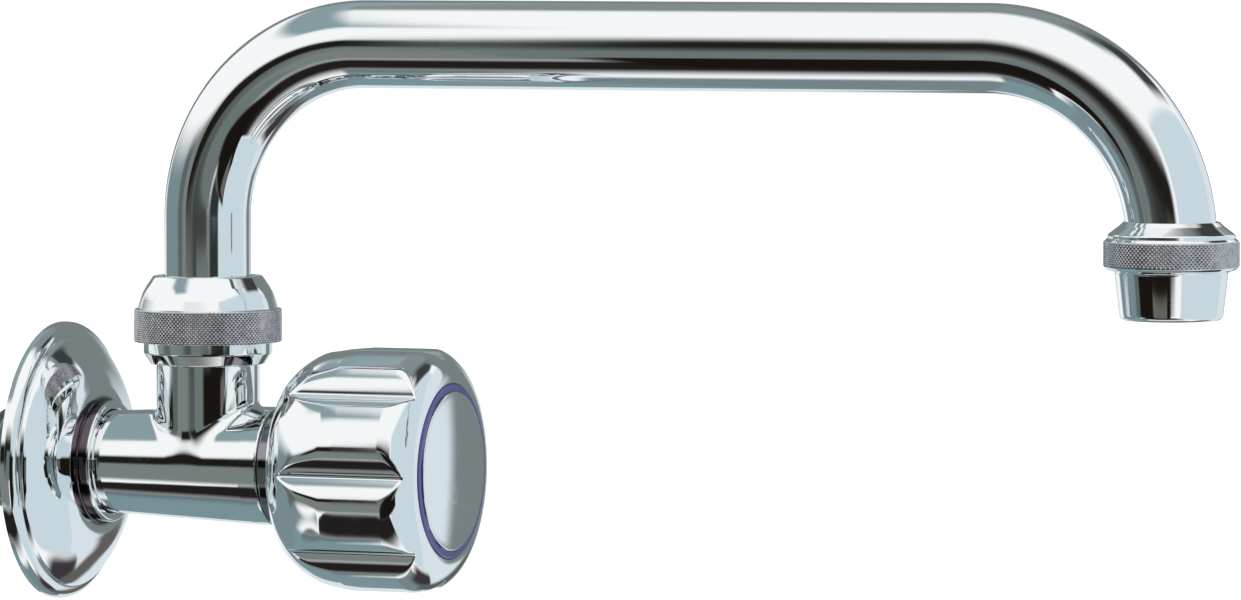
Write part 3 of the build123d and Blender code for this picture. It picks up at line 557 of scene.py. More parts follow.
def turning_group(name):
    """Fine rings left by the lathe about an axis, and their tone."""
    build, given = shader_group(name, (
        ("Along", FLOAT, 0.0), ("Pitch", FLOAT, 0.0003),
    ), (("Height", FLOAT), ("Mask", FLOAT)))
    m = build.math
    ring = m("SINE", m("DIVIDE", m("MULTIPLY", given["Along"], 2 * math.pi), given["Pitch"]))
    build.node("NodeGroupOutput", {
        "Height": m("MULTIPLY", m("ADD", m("MULTIPLY", ring, 0.5), 0.5), 0.6),
        "Mask": build.noise(given["Vector"], WEAR_SCALE, 4.0),
    })
    return build.tree


def mottle_group(name):
    """Two tones of moulded plastic or rubber, with a fine matt relief."""
    build, given = shader_group(name, (
        ("Light", COLOUR), ("Dark", COLOUR),
    ), (("Color", COLOUR), ("Height", FLOAT), ("Mask", FLOAT)))
    cloud = build.noise(given["Vector"], CLOUD_SCALE, 3.0)
    build.node("NodeGroupOutput", {
        "Color": build.blend(cloud, given["Dark"], given["Light"]),
        "Height": build.noise(given["Vector"], GRAIN_SCALE, 2.0), "Mask": cloud,
    })
    return build.tree


# ---- materials --------------------------------------------------------------------
def new_material(name):
    """(material, tree, Principled shader, Object coordinates)"""
    material = bpy.data.materials.new(name)
    build = fresh_nodes(material)
    shader = build.node("ShaderNodeBsdfPrincipled")
    build.node("ShaderNodeOutputMaterial", {"Surface": shader.outputs[0]})
    return material, build, shader, build.node("ShaderNodeTexCoord").outputs["Object"]


def relief(build, shader, height, strength, distance):
    values = {"Height": height, "Strength": strength, "Distance": distance}
    build.feed(shader.inputs["Normal"], build.out("ShaderNodeBump", values))


def scaled(tone, factor):
    return (*[min(1, c * factor) for c in tone], 1)


def chrome(name, tone, rough, wave_size=0.012, wave=0.5, marks=0.5):
    """Bright plating over a buffed metal; the tone is a colour, or a function that makes one."""
    material, build, shader, spot = new_material(name)
    skin = build.group("Plating", plating_group, {
        "Vector": spot, "Wave Size": wave_size, "Wave Height": wave, "Roughness": rough,
        "Marks": marks,
    })
    build.feed(shader.inputs["Base Color"], tone(build, spot) if callable(tone) else (*tone, 1))
    shader.inputs["Metallic"].default_value = 1.0
    build.feed(shader.inputs["Roughness"], skin["Roughness"])
    relief(build, shader, skin["Height"], 0.25, 0.0001)
    return material


def knurled_chrome(tone, low_tone):
    """Plating over knurl teeth, painted darker than the plain plating as painted shade among the
    teeth, in two colours mixed at random by noise.
    """
    def mottled_shade(build, spot):
        # Painted shade: two darker plating colours, mixed at random by noise.
        share = build.ramp(build.noise(spot, KNURL_SHADE_SCALE, 4.0), 0.30, 0.70, kind="LINEAR")
        return build.blend(share, (*low_tone, 1), (*tone, 1))

    name = "Knurled chrome"
    found = bpy.data.materials.get(name)
    return found or chrome(name, mottled_shade, 0.26, wave_size=0.003, wave=0.6, marks=0.8)


def turned_metal(name, tone, rough, axis):
    """Unplated metal with lathe lines about an axis."""
    material, build, shader, spot = new_material(name)
    along = build.parts(spot)[axis]
    skin = build.group("Lathe lines", turning_group, {"Along": along, "Vector": spot})
    shade = build.blend(skin["Mask"], scaled(tone, 0.72), scaled(tone, 1.15))
    build.feed(shader.inputs["Base Color"], shade)
    shader.inputs["Metallic"].default_value = 1.0
    build.feed(shader.inputs["Roughness"], build.math("MULTIPLY_ADD", skin["Mask"], 0.18, rough))
    relief(build, shader, skin["Height"], 0.2, 0.00004)
    return material


def moulded(name, tone, rough, coat=0.0):
    """Plastic or rubber from a mould."""
    material, build, shader, spot = new_material(name)
    skin = build.group("Moulded skin", mottle_group, {
        "Vector": spot, "Light": scaled(tone, 1.12), "Dark": scaled(tone, 0.86),
    })
    build.feed(shader.inputs["Base Color"], skin["Color"])
    build.feed(shader.inputs["Roughness"], build.math("MULTIPLY_ADD", skin["Mask"], 0.12, rough))
    shader.inputs["Coat Weight"].default_value = coat
    shader.inputs["Coat Roughness"].default_value = 0.06
    relief(build, shader, skin["Height"], 0.15, 0.00005)
    return material


# ---- cast body --------------------------------------------------------------------
FIT_PASSES = 8


def soft_min(a, b, width):
    blend = np.maximum(width - np.abs(a - b), 0)
    return np.minimum(a, b) - blend**2 / (4 * width)


def cast_field(points, s, front_x, rear_x, bore_end, edge=0.25 * MM):
    """Distance-like field of the cast barrel and branch: below zero inside."""
    x, y, z = points.T
    share = np.clip((x - s.taper_start) / (s.taper_end - s.taper_start), 0, 1)
    spread = np.hypot(y, z)
    barrel = spread - (s.rear_r + (s.front_r - s.rear_r) * share)
    barrel = -soft_min(-barrel, -(np.maximum(x - front_x, rear_x - x)), edge)
    branch = np.hypot(x - BRANCH_X, y) - s.branch_r
    branch = -soft_min(-branch, -(np.maximum(z - s.shoulder_z, -z)), edge)
    whole = soft_min(barrel, branch, s.fillet)
    bore = np.maximum(spread - s.bore_r, x - bore_end)
    return np.maximum(whole, -bore)


def field_slope(points, field, step=0.02 * MM):
    slope = np.empty_like(points)
    for k in range(3):
        shift = np.zeros(3)
        shift[k] = step
        slope[:, k] = (field(points + shift) - field(points - shift)) / (2 * step)
    return slope


def thread_shell(s, start_x, end_x, crest_r, sides=128, per_turn=14):
    """The tail's outside with a real helical thread, its end face and its bore."""
    rows = int((end_x - start_x) / s.thread_pitch * per_turn) + 1
    along = np.linspace(start_x, end_x, rows)[:, None]
    angle = ring_angles(sides)
    phase = (along / s.thread_pitch - angle / (2 * math.pi)) % 1
    tooth = np.clip(np.abs(phase - 0.5) * 2.6 - 0.15, 0, 1)
    run_in = np.clip((along - start_x) / (0.8 * s.thread_pitch), 0, 1)
    run_out = np.clip((end_x - along) / (0.6 * s.thread_pitch), 0, 1)
    radius = crest_r - s.thread_depth * (1 - tooth) * run_out - (1 - run_in) * 0.8 * MM
    outside = np.stack([along + 0 * angle, radius * np.cos(angle), radius * np.sin(angle)], -1)
    chamfer = 0.4 * MM
    bore = turned(np.array([
        (end_x, s.bore_r), (start_x + chamfer, s.bore_r), (start_x, s.bore_r + chamfer),
    ]), "x", sides=sides)[0]
    rings = np.concatenate([outside.reshape(-1, 3), bore])
    return rings, grid_faces(rows + 3, sides)


class WALLTAP_OT_body(bpy.types.Operator):
    """Cast body: tapered barrel, branch with a soft fillet and a threaded tail"""
    bl_idname = "walltap.body"
    bl_label = "Cast body"

    def execute(self, context):
        s, tone = sizes(context, "body", "finish")
        front_x, rear_x, bore_end = high("tap_body", "x"), 0.0, BRANCH_X - s.branch_r - 2 * MM

        def field(points):
            return cast_field(points, s, front_x, rear_x, bore_end)

        barrel = turned(np.array([
            (rear_x, s.bore_r), (rear_x, s.rear_r), (s.taper_start, s.rear_r),
            (s.taper_end, s.front_r), (front_x, s.front_r), (front_x, 0), (bore_end, 0),
            (bore_end, s.bore_r),
        ]), "x")
        branch = turned(np.array([
            (0, 0), (0, s.branch_r), (s.shoulder_z, s.branch_r), (s.shoulder_z, 0),
        ]), "z", BRANCH_X)
        source = helper_object("cast", solid_mesh("cast", barrel, branch))
        remesh = source.modifiers.new("Remesh", "REMESH")
        remesh.mode = "VOXEL"
        remesh.voxel_size = s.grain
        cast = baked("tap_body_cast", source)
        points = np.empty(len(cast.vertices) * 3)
        cast.vertices.foreach_get("co", points)
        points = points.reshape(-1, 3)
        for _ in range(FIT_PASSES):
            slope = field_slope(points, field)
            points -= slope * (field(points) / np.maximum((slope**2).sum(1), 0.25))[:, None]
        cast.vertices.foreach_set("co", points.ravel())
        cast.update()
        cast.shade_smooth()
        slope = field_slope(points, field)
        normals = slope / np.linalg.norm(slope, axis=1)[:, None]
        cast.normals_split_custom_set_from_vertices(normals.tolist())
        plated = chrome("Chrome cast body", tone.chrome, tone.gloss, wave_size=0.010, wave=0.9)
        show("tap_body_cast", cast, plated, "body", "chrome_cast", "tap_body")
        tail = thread_shell(s, low("tap_body", "x"), rear_x + 0.3 * MM, TAIL_R)
        dull = chrome("Dull chrome tail", tone.tail, 0.30, wave_size=0.002, wave=0.6, marks=0.9)
        show("tap_tail", tail, dull, "body", "chrome_cast", "tap_body")
        return {"FINISHED"}


# ---- wall rose --------------------------------------------------------------------
# Line of the dome from the rim to the collar, as shares of its rise and its width.
ROSE_DOME = (
    (0.0, 0.0), (0.16, 0.035), (0.52, 0.25), (0.82, 0.50), (0.96, 0.74), (1.0, 0.88), (1.0, 1.0),
)
ROSE_SIDES = 256


def shaded_neck(tone, painted_shade, front, radius):
    """Plating painted darker in the corner behind the collar's lip: painted shade."""
    def shade(build, spot):
        x, y, z = build.parts(spot)
        square = build.math("ADD", build.math("POWER", y, 2.0), build.math("POWER", z, 2.0))
        masks = [
            build.ramp(value, edge - soft / 2, edge + soft / 2, flip=True)
            for value, edge, soft in (
                (x, front, 0.3 * MM), (build.math("SQRT", square), radius, 1.2 * MM),
            )
        ]
        return build.blend(build.math("MULTIPLY", *masks), (*tone, 1), (*painted_shade, 1))
    return shade


class WALLTAP_OT_rose(bpy.types.Operator):
    """Spun wall rose with a rolled rim, a domed face and a collar around the body"""
    bl_idname = "walltap.rose"
    bl_label = "Wall rose"

    def execute(self, context):
        s, body, tone = sizes(context, "rose", "body", "finish")
        bore, chamfer = body.rear_r + CLEAR, 0.3 * MM
        crease_r, rise = s.radius - s.rim_width, s.depth - s.rim_height
        width = crease_r - s.collar_r - 0.25 * MM
        dome = smooth_line([
            (s.rim_height + rise * up, crease_r - width * inward) for up, inward in ROSE_DOME
        ])
        steps = np.gradient(dome, axis=0)
        steps /= np.linalg.norm(steps, axis=1)[:, None]
        lining = dome + np.stack([steps[:, 1], -steps[:, 0]], 1) * s.sheet
        rim_start, front = s.rim_height - s.rim_round, s.collar_x - s.lip
        outline = np.vstack([
            [(CLEAR, s.radius), (rim_start - SUPPORT, s.radius)],
            quarter_round(rim_start, s.radius - s.rim_round, s.rim_round, 12), dome,
            [(s.depth + 0.2 * MM, s.collar_r), (front - SUPPORT, s.collar_r)],
            quarter_round(front, s.collar_r - s.lip, s.lip, 10),
            [(s.collar_x, bore + chamfer), (s.collar_x - chamfer, bore), (s.depth - s.sheet, bore)],
            lining[::-1], [(0.0, lining[0, 1]), (0.0, s.radius - CLEAR)],
        ])
        # Painted shade: the plating is painted dark in the corner behind the collar's lip.
        shade = shaded_neck(tone.chrome, tone.painted_shade, front, s.collar_r + 0.8 * MM)
        plated = chrome("Chrome rose", shade, tone.gloss, wave_size=0.016, wave=0.8)
        show("wall_rose_spun", turned(outline, "x", sides=ROSE_SIDES), plated,
             "body", "chrome_sheet", "wall_rose")
        return {"FINISHED"}


# ---- trim ring --------------------------------------------------------------------
class WALLTAP_OT_trim(bpy.types.Operator):
    """Plated ring between the body and the knob"""
    bl_idname = "walltap.trim"
    bl_label = "Trim ring"

    def execute(self, context):
        (tone,) = sizes(context, "finish")
        (rear, front), radius = span("trim_ring", "x"), high("trim_ring", "z")
        bore = high("bonnet_gasket", "z") + CLEAR
        ring = rounded([
            (rear, bore, 0), (rear, radius, 0.6 * MM), (front, radius, 0.9 * MM),
            (front, bore, 0.3 * MM),
        ])
        # Painted shade: a dark colour on the plating stands for the shade and dark reflection
        # behind the knob.
        plated = chrome("Chrome trim ring", tone.trim, tone.gloss)
        show("trim_ring_plated", turned(ring, "x"), plated, "body", "chrome_cast", "trim_ring")
        return {"FINISHED"}


# ---- knob -------------------------------------------------------------------------
# Line of the knob's back, as shares of its length and of its rise from hub to full radius.
KNOB_BACK = ((0.0, 0.0), (0.03, 0.36), (0.09, 0.62), (0.24, 0.88), (0.45, 1.0))
KNOB_SIDES = 640
VALLEY_ROUND = 0.8 * MM


def knob_blank(s, rear, front):
    """(x, radius) line of the round blank, from its back face to its front seat."""
    length, rise, wide_end = front - rear, s.radius - s.back_r, front - s.shoulder
    back = smooth_line([
        (rear + length * along, s.back_r + rise * out) for along, out in KNOB_BACK
    ], 14)
    flat = np.stack([np.linspace(back[-1, 0], wide_end, 5)[1:-1], np.full(3, s.radius)], 1)
    turn = np.linspace(0, math.pi / 2, 44)
    shoulder = np.stack([
        wide_end + s.shoulder * np.sin(turn), s.face_r + (s.radius - s.face_r) * np.cos(turn),
    ], 1)
    return np.vstack([back, flat, shoulder])


def lobed_radius(s, angle):
    """Radius of the fluted prism: circles around the axis, with a small round in each valley."""
    centre = s.ridge_r - s.lobe_r
    step = 2 * math.pi / s.lobes
    off = (angle + step / 2) % step - step / 2
    reach = []
    for t in (off + step / 2, off - step / 2):
        across = np.maximum(s.lobe_r**2 - (centre * np.sin(t)) ** 2, 0)
        reach.append(centre * np.cos(t) + np.sqrt(across))
    return -soft_min(-reach[0], -reach[1], VALLEY_ROUND)


class WALLTAP_OT_knob(bpy.types.Operator):
    """Lobed hand knob: a round blank with eight flutes that run out in its shoulders"""
    bl_idname = "walltap.knob"
    bl_label = "Hand knob"

    def execute(self, context):
        s, tone = sizes(context, "knob", "finish")
        rear, front = span("knob_shell", "x")
        angle = ring_angles(KNOB_SIDES)
        line = knob_blank(s, rear, front)
        radius = soft_min(line[:, 1:], lobed_radius(s, angle), s.crease)
        skin = np.stack([
            np.repeat(line[:, :1], KNOB_SIDES, 1), radius * np.cos(angle), radius * np.sin(angle),
        ], -1)
        seat_x, hub_r = low("knob_index_ring", "x"), 10.9 * MM
        step_x, step_r = seat_x - 6 * MM, 14.8 * MM
        inner = np.roll(rounded([
            (front, s.face_r, 0.25 * MM), (seat_x, s.face_r, 0), (seat_x, 15.9 * MM, 0),
            (step_x, step_r, 0), (step_x, hub_r, 0), (rear + 7 * MM, hub_r, 0),
            (rear, hub_r, 0.3 * MM),
        ]), -1, axis=0)
        hollow = turned(inner, "x", sides=KNOB_SIDES)[0]
        rings = np.concatenate([skin.reshape(-1, 3), hollow])
        shell = (rings, grid_faces(len(line) + len(inner), KNOB_SIDES))
        plated = chrome("Chrome knob", tone.chrome, tone.gloss, wave_size=0.009, wave=0.5)
        show("knob_shell_plated", shell, plated, "handle", "chrome_knob", "knob_shell")
        return {"FINISHED"}


class WALLTAP_OT_knob_front(bpy.types.Operator):
    """Blue index ring and crowned cap on the front of the knob"""
    bl_idname = "walltap.knob_front"
    bl_label = "Index ring and cap"

    def execute(self, context):
        s, tone = sizes(context, "knob", "finish")
        ring_r, cap_r = high("knob_index_ring", "z"), high("knob_cap", "z")
        seat_x, ring_x = span("knob_index_ring", "x")
        cap_x = high("knob_cap", "x")
        ring_line = rounded([
            (seat_x, cap_r + CLEAR, 0), (seat_x, ring_r, 0), (ring_x, ring_r, 0.5 * MM),
            (ring_x, cap_r + CLEAR, CLEAR),
        ])
        blue = moulded("Blue index ring", tone.ring, 0.18, coat=0.6)
        show("knob_index_ring_moulded", turned(ring_line, "x"), blue,
             "handle", "blue_ring", "knob_index_ring")
        curve_r = (cap_r**2 + s.crown**2) / (2 * s.crown)
        lip_x, lip_r, edge_x = ring_x + 0.04 * MM, cap_r + s.lip, cap_x - s.crown
        edge = rounded([
            (seat_x, 0, 0), (seat_x, cap_r, 0), (lip_x, cap_r, 0), (lip_x, lip_r, 0.1 * MM),
            (edge_x, lip_r, 0.35 * MM), (edge_x, 0, 0),
        ])[:-1]
        out = np.linspace(edge[-1, 1], 0, 26)[1:]
        crown = np.stack([cap_x - curve_r + np.sqrt(curve_r**2 - out**2), out], 1)
        plated = chrome("Chrome cap", tone.cap, 0.05, wave_size=0.02, wave=0.35)
        show("knob_cap_plated", turned(np.vstack([edge, crown]), "x"), plated,
             "handle", "satin_cap", "knob_cap")
        return {"FINISHED"}


# ---- spout ------------------------------------------------------------------------
def close_ends(data):
    """Joins a tube's outer and inner skins with a flat ring at each end."""
    mesh = bmesh.new()
    mesh.from_mesh(data)
    rims = [e for e in mesh.edges if e.is_boundary]
    split = (BRANCH_X + OUTLET_X) / 2
    for near in (True, False):
        bmesh.ops.bridge_loops(mesh, edges=[e for e in rims if (e.verts[0].co.x < split) == near])
    settle(mesh, data)


class WALLTAP_OT_spout(bpy.types.Operator):
    """Bent tube spout along its own centreline"""
    bl_idname = "walltap.spout"
    bl_label = "Spout tube"

    def execute(self, context):
        s, tone = sizes(context, "spout", "finish")
        start_z, end_z = low("spout_tube", "z"), RUN_Z - s.bend_outlet - 0.2 * MM
        corners = ((BRANCH_X, start_z), (BRANCH_X, RUN_Z), (OUTLET_X, RUN_Z), (OUTLET_X, end_z))
        data = bpy.data.curves.new("spout path", "CURVE")
        data.dimensions = "3D"
        line = data.splines.new("POLY")
        line.points.add(len(corners) - 1)
        for point, (x, z) in zip(line.points, corners):
            point.co = (x, 0, z, 1)
        plated = chrome("Chrome spout tube", tone.chrome, tone.gloss, wave_size=0.03, wave=0.6)
        path = helper_object("spout path", data)
        tube = run_geometry_tree("spout_tube_plated", path, kept("Bent tube", tube_tree), {
            "First Bend": s.bend_base, "Second Bend": s.bend_outlet, "Radius": TUBE_R,
            "Wall": s.wall, "Sides": s.sides, "Steps": s.steps, "Material": plated,
        })
        close_ends(tube)
        show("spout_tube_plated", tube, plated, "spout", "chrome_tube", "spout_tube")
        return {"FINISHED"}


# ---- knurled pieces ---------------------------------------------------------------
TOOTH_SINK = 0.02 * MM


def knurled(name, outline, x, band_r, bottom, top, columns, rows, height, material):
    """A turned piece at x with a band of knurl teeth from bottom to top."""
    source = helper_object(name, solid_mesh(name, turned(rounded(outline), "z", x)))
    pitch = (top - bottom) / (rows + 1)
    return run_geometry_tree(name, source, kept("Diamond knurl", knurl_tree), {
        "Columns": columns, "Rows": rows, "Radius": band_r - TOOTH_SINK, "Bottom": bottom + pitch,
        "Row Pitch": pitch, "Tooth Height": height + TOOTH_SINK, "Axis X": x, "Material": material,
    })


class WALLTAP_OT_nut(bpy.types.Operator):
    """Spout nut with a skirt, a knurled band and a rounded top"""
    bl_idname = "walltap.nut"
    bl_label = "Spout nut"

    def execute(self, context):
        k, tone = sizes(context, "knurl", "finish")
        (bottom, top), radius = span("spout_nut", "z"), high("spout_nut", "y")
        band_low, band_high = bottom + 4.6 * MM, bottom + 11.6 * MM
        band_r, skirt_r, mouth_r, inner_r = radius - k.height, 13.4 * MM, 11.15 * MM, 10.6 * MM
        neck_r = TUBE_R + 0.4 * MM
        outline = [
            (bottom, mouth_r, 0.2 * MM), (bottom, 11.9 * MM, 0.5 * MM),
            (bottom + 2.4 * MM, skirt_r, 0.8 * MM), (band_low, skirt_r, 0.12 * MM),
            (band_low, band_r, 0.35 * MM), (band_high, band_r, 0.35 * MM),
            (band_high, 14.6 * MM, 0.12 * MM), (band_high + 3.4 * MM, 13.6 * MM, 9.0 * MM),
            (top, 11.3 * MM, 0.7 * MM), (top, neck_r, 0.2 * MM), (top - 4.6 * MM, neck_r, 0),
            (top - 4.8 * MM, inner_r, 0), (bottom + 0.8 * MM, inner_r, 0),
            (bottom + 0.6 * MM, mouth_r, 0),
        ]
        plated = chrome("Chrome nut", tone.chrome, 0.06, wave_size=0.006, wave=0.5)
        band = knurled_chrome(tone.knurl, tone.knurl_painted_shade)
        mesh = knurled("spout_nut_knurled", outline, BRANCH_X, band_r, band_low, band_high,
                       k.columns, k.rows, k.height, plated)
        show("spout_nut_knurled", mesh, plated, "body", "chrome_knurled", "spout_nut")
        paint_band(mesh, band, BRANCH_X, band_r, band_low, band_high)
        return {"FINISHED"}


def paint_band(data, material, x, band_r, bottom, top):
    """Gives the second material to the faces of a knurled band."""
    data.materials.append(material)
    for face in data.polygons:
        spot = face.center
        if bottom < spot.z < top and math.hypot(spot.x - x, spot.y) > band_r - TOOTH_SINK:
            face.material_index = 1


class WALLTAP_OT_aerator(bpy.types.Operator):
    """Ferrule on the tube's end and the aerator's knurled ring and nozzle"""
    bl_idname = "walltap.aerator"
    bl_label = "Aerator"

    def execute(self, context):
        k, tone = sizes(context, "knurl", "finish")
        plated = chrome("Chrome aerator", tone.chrome, 0.05, wave_size=0.006, wave=0.5)
        band = knurled_chrome(tone.knurl, tone.knurl_painted_shade)
        bottom, top = span("aerator_housing", "z")
        ferrule_top, ferrule_r = high("aerator_ferrule", "z"), high("aerator_ferrule", "y")
        neck, thread_z = TUBE_R + 0.25 * MM, top - 1.5 * MM
        ferrule = rounded([
            (thread_z, neck, 0), (thread_z, ferrule_r, 0), (top + 0.7 * MM, ferrule_r, 0.5 * MM),
            (ferrule_top - 0.8 * MM, neck + 1.1 * MM, 1.6 * MM),
            (ferrule_top, neck + 0.25 * MM, 0.1 * MM), (ferrule_top, neck, 0),
        ])
        show("aerator_ferrule_plated", turned(ferrule, "z", OUTLET_X), plated,
             "spout", "chrome_cast", "aerator_ferrule")
        band_r = high("aerator_housing", "y") - k.height
        ring_low, nozzle_top, chamfer = top - 6.2 * MM, top - 7.1 * MM, 0.6 * MM
        mouth_r, nozzle_r, lip_z = 8.0 * MM, 11.2 * MM, bottom + 1.4 * MM
        outline = [
            (bottom, mouth_r, 0.3 * MM), (bottom, 10.15 * MM, 1.3 * MM),
            (nozzle_top, nozzle_r, 0.3 * MM), (nozzle_top + 0.4 * MM, nozzle_r, 0.2 * MM),
            (ring_low, band_r - chamfer, 0.3 * MM), (ring_low + 0.5 * MM, band_r, 0.3 * MM),
            (top - chamfer, band_r, 0.5 * MM), (top, band_r - chamfer, 0.4 * MM),
            (top, 10.05 * MM, 0), (lip_z, 9.0 * MM, 0), (lip_z, mouth_r, 0.2 * MM),
        ]
        mesh = knurled("aerator_housing_knurled", outline, OUTLET_X, band_r,
                       ring_low + 0.5 * MM, top - 0.5 * MM,
                       k.ring_columns, k.ring_rows, k.height, plated)
        show("aerator_housing_knurled", mesh, plated, "spout", "chrome_knurled", "aerator_housing")
        paint_band(mesh, band, OUTLET_X, band_r, ring_low + 0.2 * MM, top - 0.2 * MM)
        return {"FINISHED"}


# ---- finishes of the pieces that stay as constructed -------------------------------
class WALLTAP_OT_inner_finish(bpy.types.Operator):
    """Brass, steel, rubber and plastic on the pieces inside"""
    bl_idname = "walltap.inner_finish"
    bl_label = "Inner finishes"

    def execute(self, context):
        (tone,) = sizes(context, "finish")
        worn = (
            (turned_metal("Turned brass upright", tone.brass, 0.2, 2), "spout_bush"),
            (turned_metal("Turned brass level", tone.brass, 0.2, 0),
             "valve_seat bonnet spindle valve_carrier washer_plate"),
            (turned_metal("Stainless", tone.steel, 0.25, 0),
             "spout_retaining_ring spindle_circlip knob_screw knob_lock_washer washer_screw "
             "aerator_screens"),
            (moulded("Black rubber", tone.rubber, 0.55),
             "rose_grip_ring spindle_o_rings valve_washer spout_o_rings aerator_seal"),
            (moulded("Natural nylon", tone.nylon, 0.4),
             "bonnet_gasket spindle_thrust_washer spout_slip_washer knob_insert"),
            (moulded("Grey acetal", tone.acetal, 0.35), "aerator_jet_plate aerator_straightener"),
        )
        for material, nodes in worn:
            for node in nodes.split():
                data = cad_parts[node].data
                data.materials.clear()
                data.materials.append(material)
        return {"FINISHED"}


# ---- stage ------------------------------------------------------------------------
KEY_PLACE, KEY_TARGET = Vector((-0.35, -0.9, 1.1)), Vector((0.1, 0, 0))

# Soft-edged cards of the studio, seen only in the metal: name, flat axis, its place, the card's
# lowest and highest place on the two other axes in order, softness of those edges (all mm), colour.
# Most edges, softness and colours come from a least-squares fit to the photograph's reflections,
# mixed with values set one by one. Near dark, front bar low and the last three rows are given one
# by one, not fitted.
CARDS = (
    ("front bar", "y", -900, (-285, 770), (-70, 420), (195, 390), (33, 31, 27)),
    ("front grey", "y", -950, (-1310, 415), (-680, 260), (155, 260), (123, 131, 129)),
    ("floor dark", "z", -900, (-735, 830), (-1250, -315), (60, 520), (35, 31, 31)),
    ("floor teal left", "z", -905, (-2500, -295), (-370, 1525), (55, 190), (125, 150, 156)),
    ("floor teal back", "z", -906, (-355, 475), (-15, 1500), (80, 195), (121, 137, 139)),
    ("left wall", "x", -1000, (-865, 600), (-1020, 260), (195, 260), (123, 142, 147)),
    ("left wall shade", "x", -990, (-1390, -555), (-580, 255), (190, 195), (95, 103, 101)),
    ("ceiling left", "z", 500, (-360, -140), (-405, 1495), (100, 140), (141, 161, 166)),
    ("ceiling back", "z", 505, (-180, 390), (90, 1500), (115, 115), (135, 144, 145)),
    ("ceiling back right", "z", 495, (285, 590), (195, 655), (155, 155), (61, 63, 65)),
    ("right wall", "x", 1200, (-1250, 1500), (-1335, 1000), (180, 195), (208, 222, 229)),
    ("leg strip", "y", -260, (175, 360), (-40, 50), (45, 45), (48, 54, 52)),
    ("near dark", "y", -130, (65, 280), (-100, 15), (15, 10), (26, 22, 18)),
    ("back grey", "y", 350, (-440, 270), (40, 360), (25, 115), (123, 132, 133)),
    ("back grey right", "y", 352, (120, 245), (-85, 160), (25, 25), (122, 133, 131)),
    ("back pale", "y", 1100, (-940, 2000), (-1055, 575), (145, 185), (222, 232, 238)),
    ("back dark low", "z", -880, (170, 735), (410, 1125), (260, 260), (61, 56, 59)),
    ("front bar low", "y", -898, (-620, -290), (0, 255), (60, 100), (30, 28, 24)),
    ("near grey", "y", -200, (15, 130), (-45, 35), (10, 10), (112, 120, 120)),
    ("outlet grey", "y", -127, (190, 260), (-60, 5), (5, 5), (105, 103, 98)),
    ("back streak", "y", 354, (45, 165), (-420, -50), (50, 100), (98, 96, 94)),
)


def linear(tone):
    """A 0-255 display colour as a linear one, for cards that are never near black."""
    return [((c / 255 + 0.055) / 1.055) ** 2.4 for c in tone]


def soft_card_group(name):
    """1 in the middle of a card and 0 past its edges, with a smooth step between."""
    build, given = shader_group(name, (("Half Size", VECTOR), ("Soft", VECTOR)), (("Mask", FLOAT),))
    m, mask = build.math, 1.0
    spot, half, soft = (build.parts(given[key]) for key in ("Vector", "Half Size", "Soft"))
    for k in range(3):
        inside = m("SUBTRACT", half[k], m("ABSOLUTE", spot[k]))
        mask = m("MULTIPLY", build.ramp(m("DIVIDE", inside, soft[k]), -0.5, 0.5), mask)
    build.node("NodeGroupOutput", {"Mask": mask})
    return build.tree


def studio_card(name, axis, place, span_a, span_b, soft, tone):
    """A glowing card with soft edges that only the metal sees."""
    flat = "xyz".index(axis)
    centre, half, outer, edges = Vector(), Vector(), Vector(), Vector((1, 1, 1))
    centre[flat], half[flat] = place, 1
    others = [k for k in range(3) if k != flat]
    for k, (start, end), width in zip(others, (span_a, span_b), soft):
        centre[k], half[k], edges[k] = (start + end) / 2, (end - start) / 2, width
        outer[k] = half[k] + width / 2
    material = bpy.data.materials.new("Card " + name)
    build = fresh_nodes(material)
    mask = build.group("Soft card", soft_card_group, {
        "Vector": build.node("ShaderNodeTexCoord").outputs["Object"],
        "Half Size": half * MM, "Soft": edges * MM,
    })["Mask"]
    clear = build.out("ShaderNodeBsdfTransparent")
    glow = build.out("ShaderNodeEmission", {"Color": (*linear(tone), 1)})
    build.surface(mask, clear, glow)
    card = helper_object("Card " + name, plane_mesh(name, outer * MM))
    card.location = centre * MM
    card.data.materials.append(material)
    card.visible_camera = card.visible_diffuse = False
    card.visible_shadow = card.visible_transmission = False


def seen_white(build):
    """1 for the rays that see the white background: camera, glossy and transmission rays."""
    path = build.node("ShaderNodeLightPath").outputs
    first = build.math("MAXIMUM", path["Is Camera Ray"], path["Is Glossy Ray"])
    return build.math("MAXIMUM", first, path["Is Transmission Ray"])


def make_world(context, strength):
    world = bpy.data.worlds.new("Studio")
    build = fresh_nodes(world)
    soft, white = (
        build.out("ShaderNodeBackground", {"Color": tone, "Strength": power})
        for tone, power in (((0.98, 0.99, 1.0, 1), strength), ((1, 1, 1, 1), 1.0))
    )
    build.surface(seen_white(build), soft, white, "World")
    context.scene.world = world


def plane_mesh(name, half):
    """A flat rectangle around the origin from its half sizes, one of which is zero."""
    flat = min(range(3), key=lambda k: half[k])
    a, b = [k for k in range(3) if k != flat]
    corners = []
    for u, v in ((-1, -1), (1, -1), (1, 1), (-1, 1)):
        corner = [0.0, 0.0, 0.0]
        corner[a], corner[b] = u * half[a], v * half[b]
        corners.append(corner)
    data = bpy.data.meshes.new(name)
    data.from_pydata(corners, [], [(0, 1, 2, 3)])
    return data


def aim(made, place, direction):
    """Puts a camera or lamp in its place, looking along a direction."""
    made.location = place
    made.rotation_mode = "QUATERNION"
    made.rotation_quaternion = direction.to_track_quat("-Z", "Y")


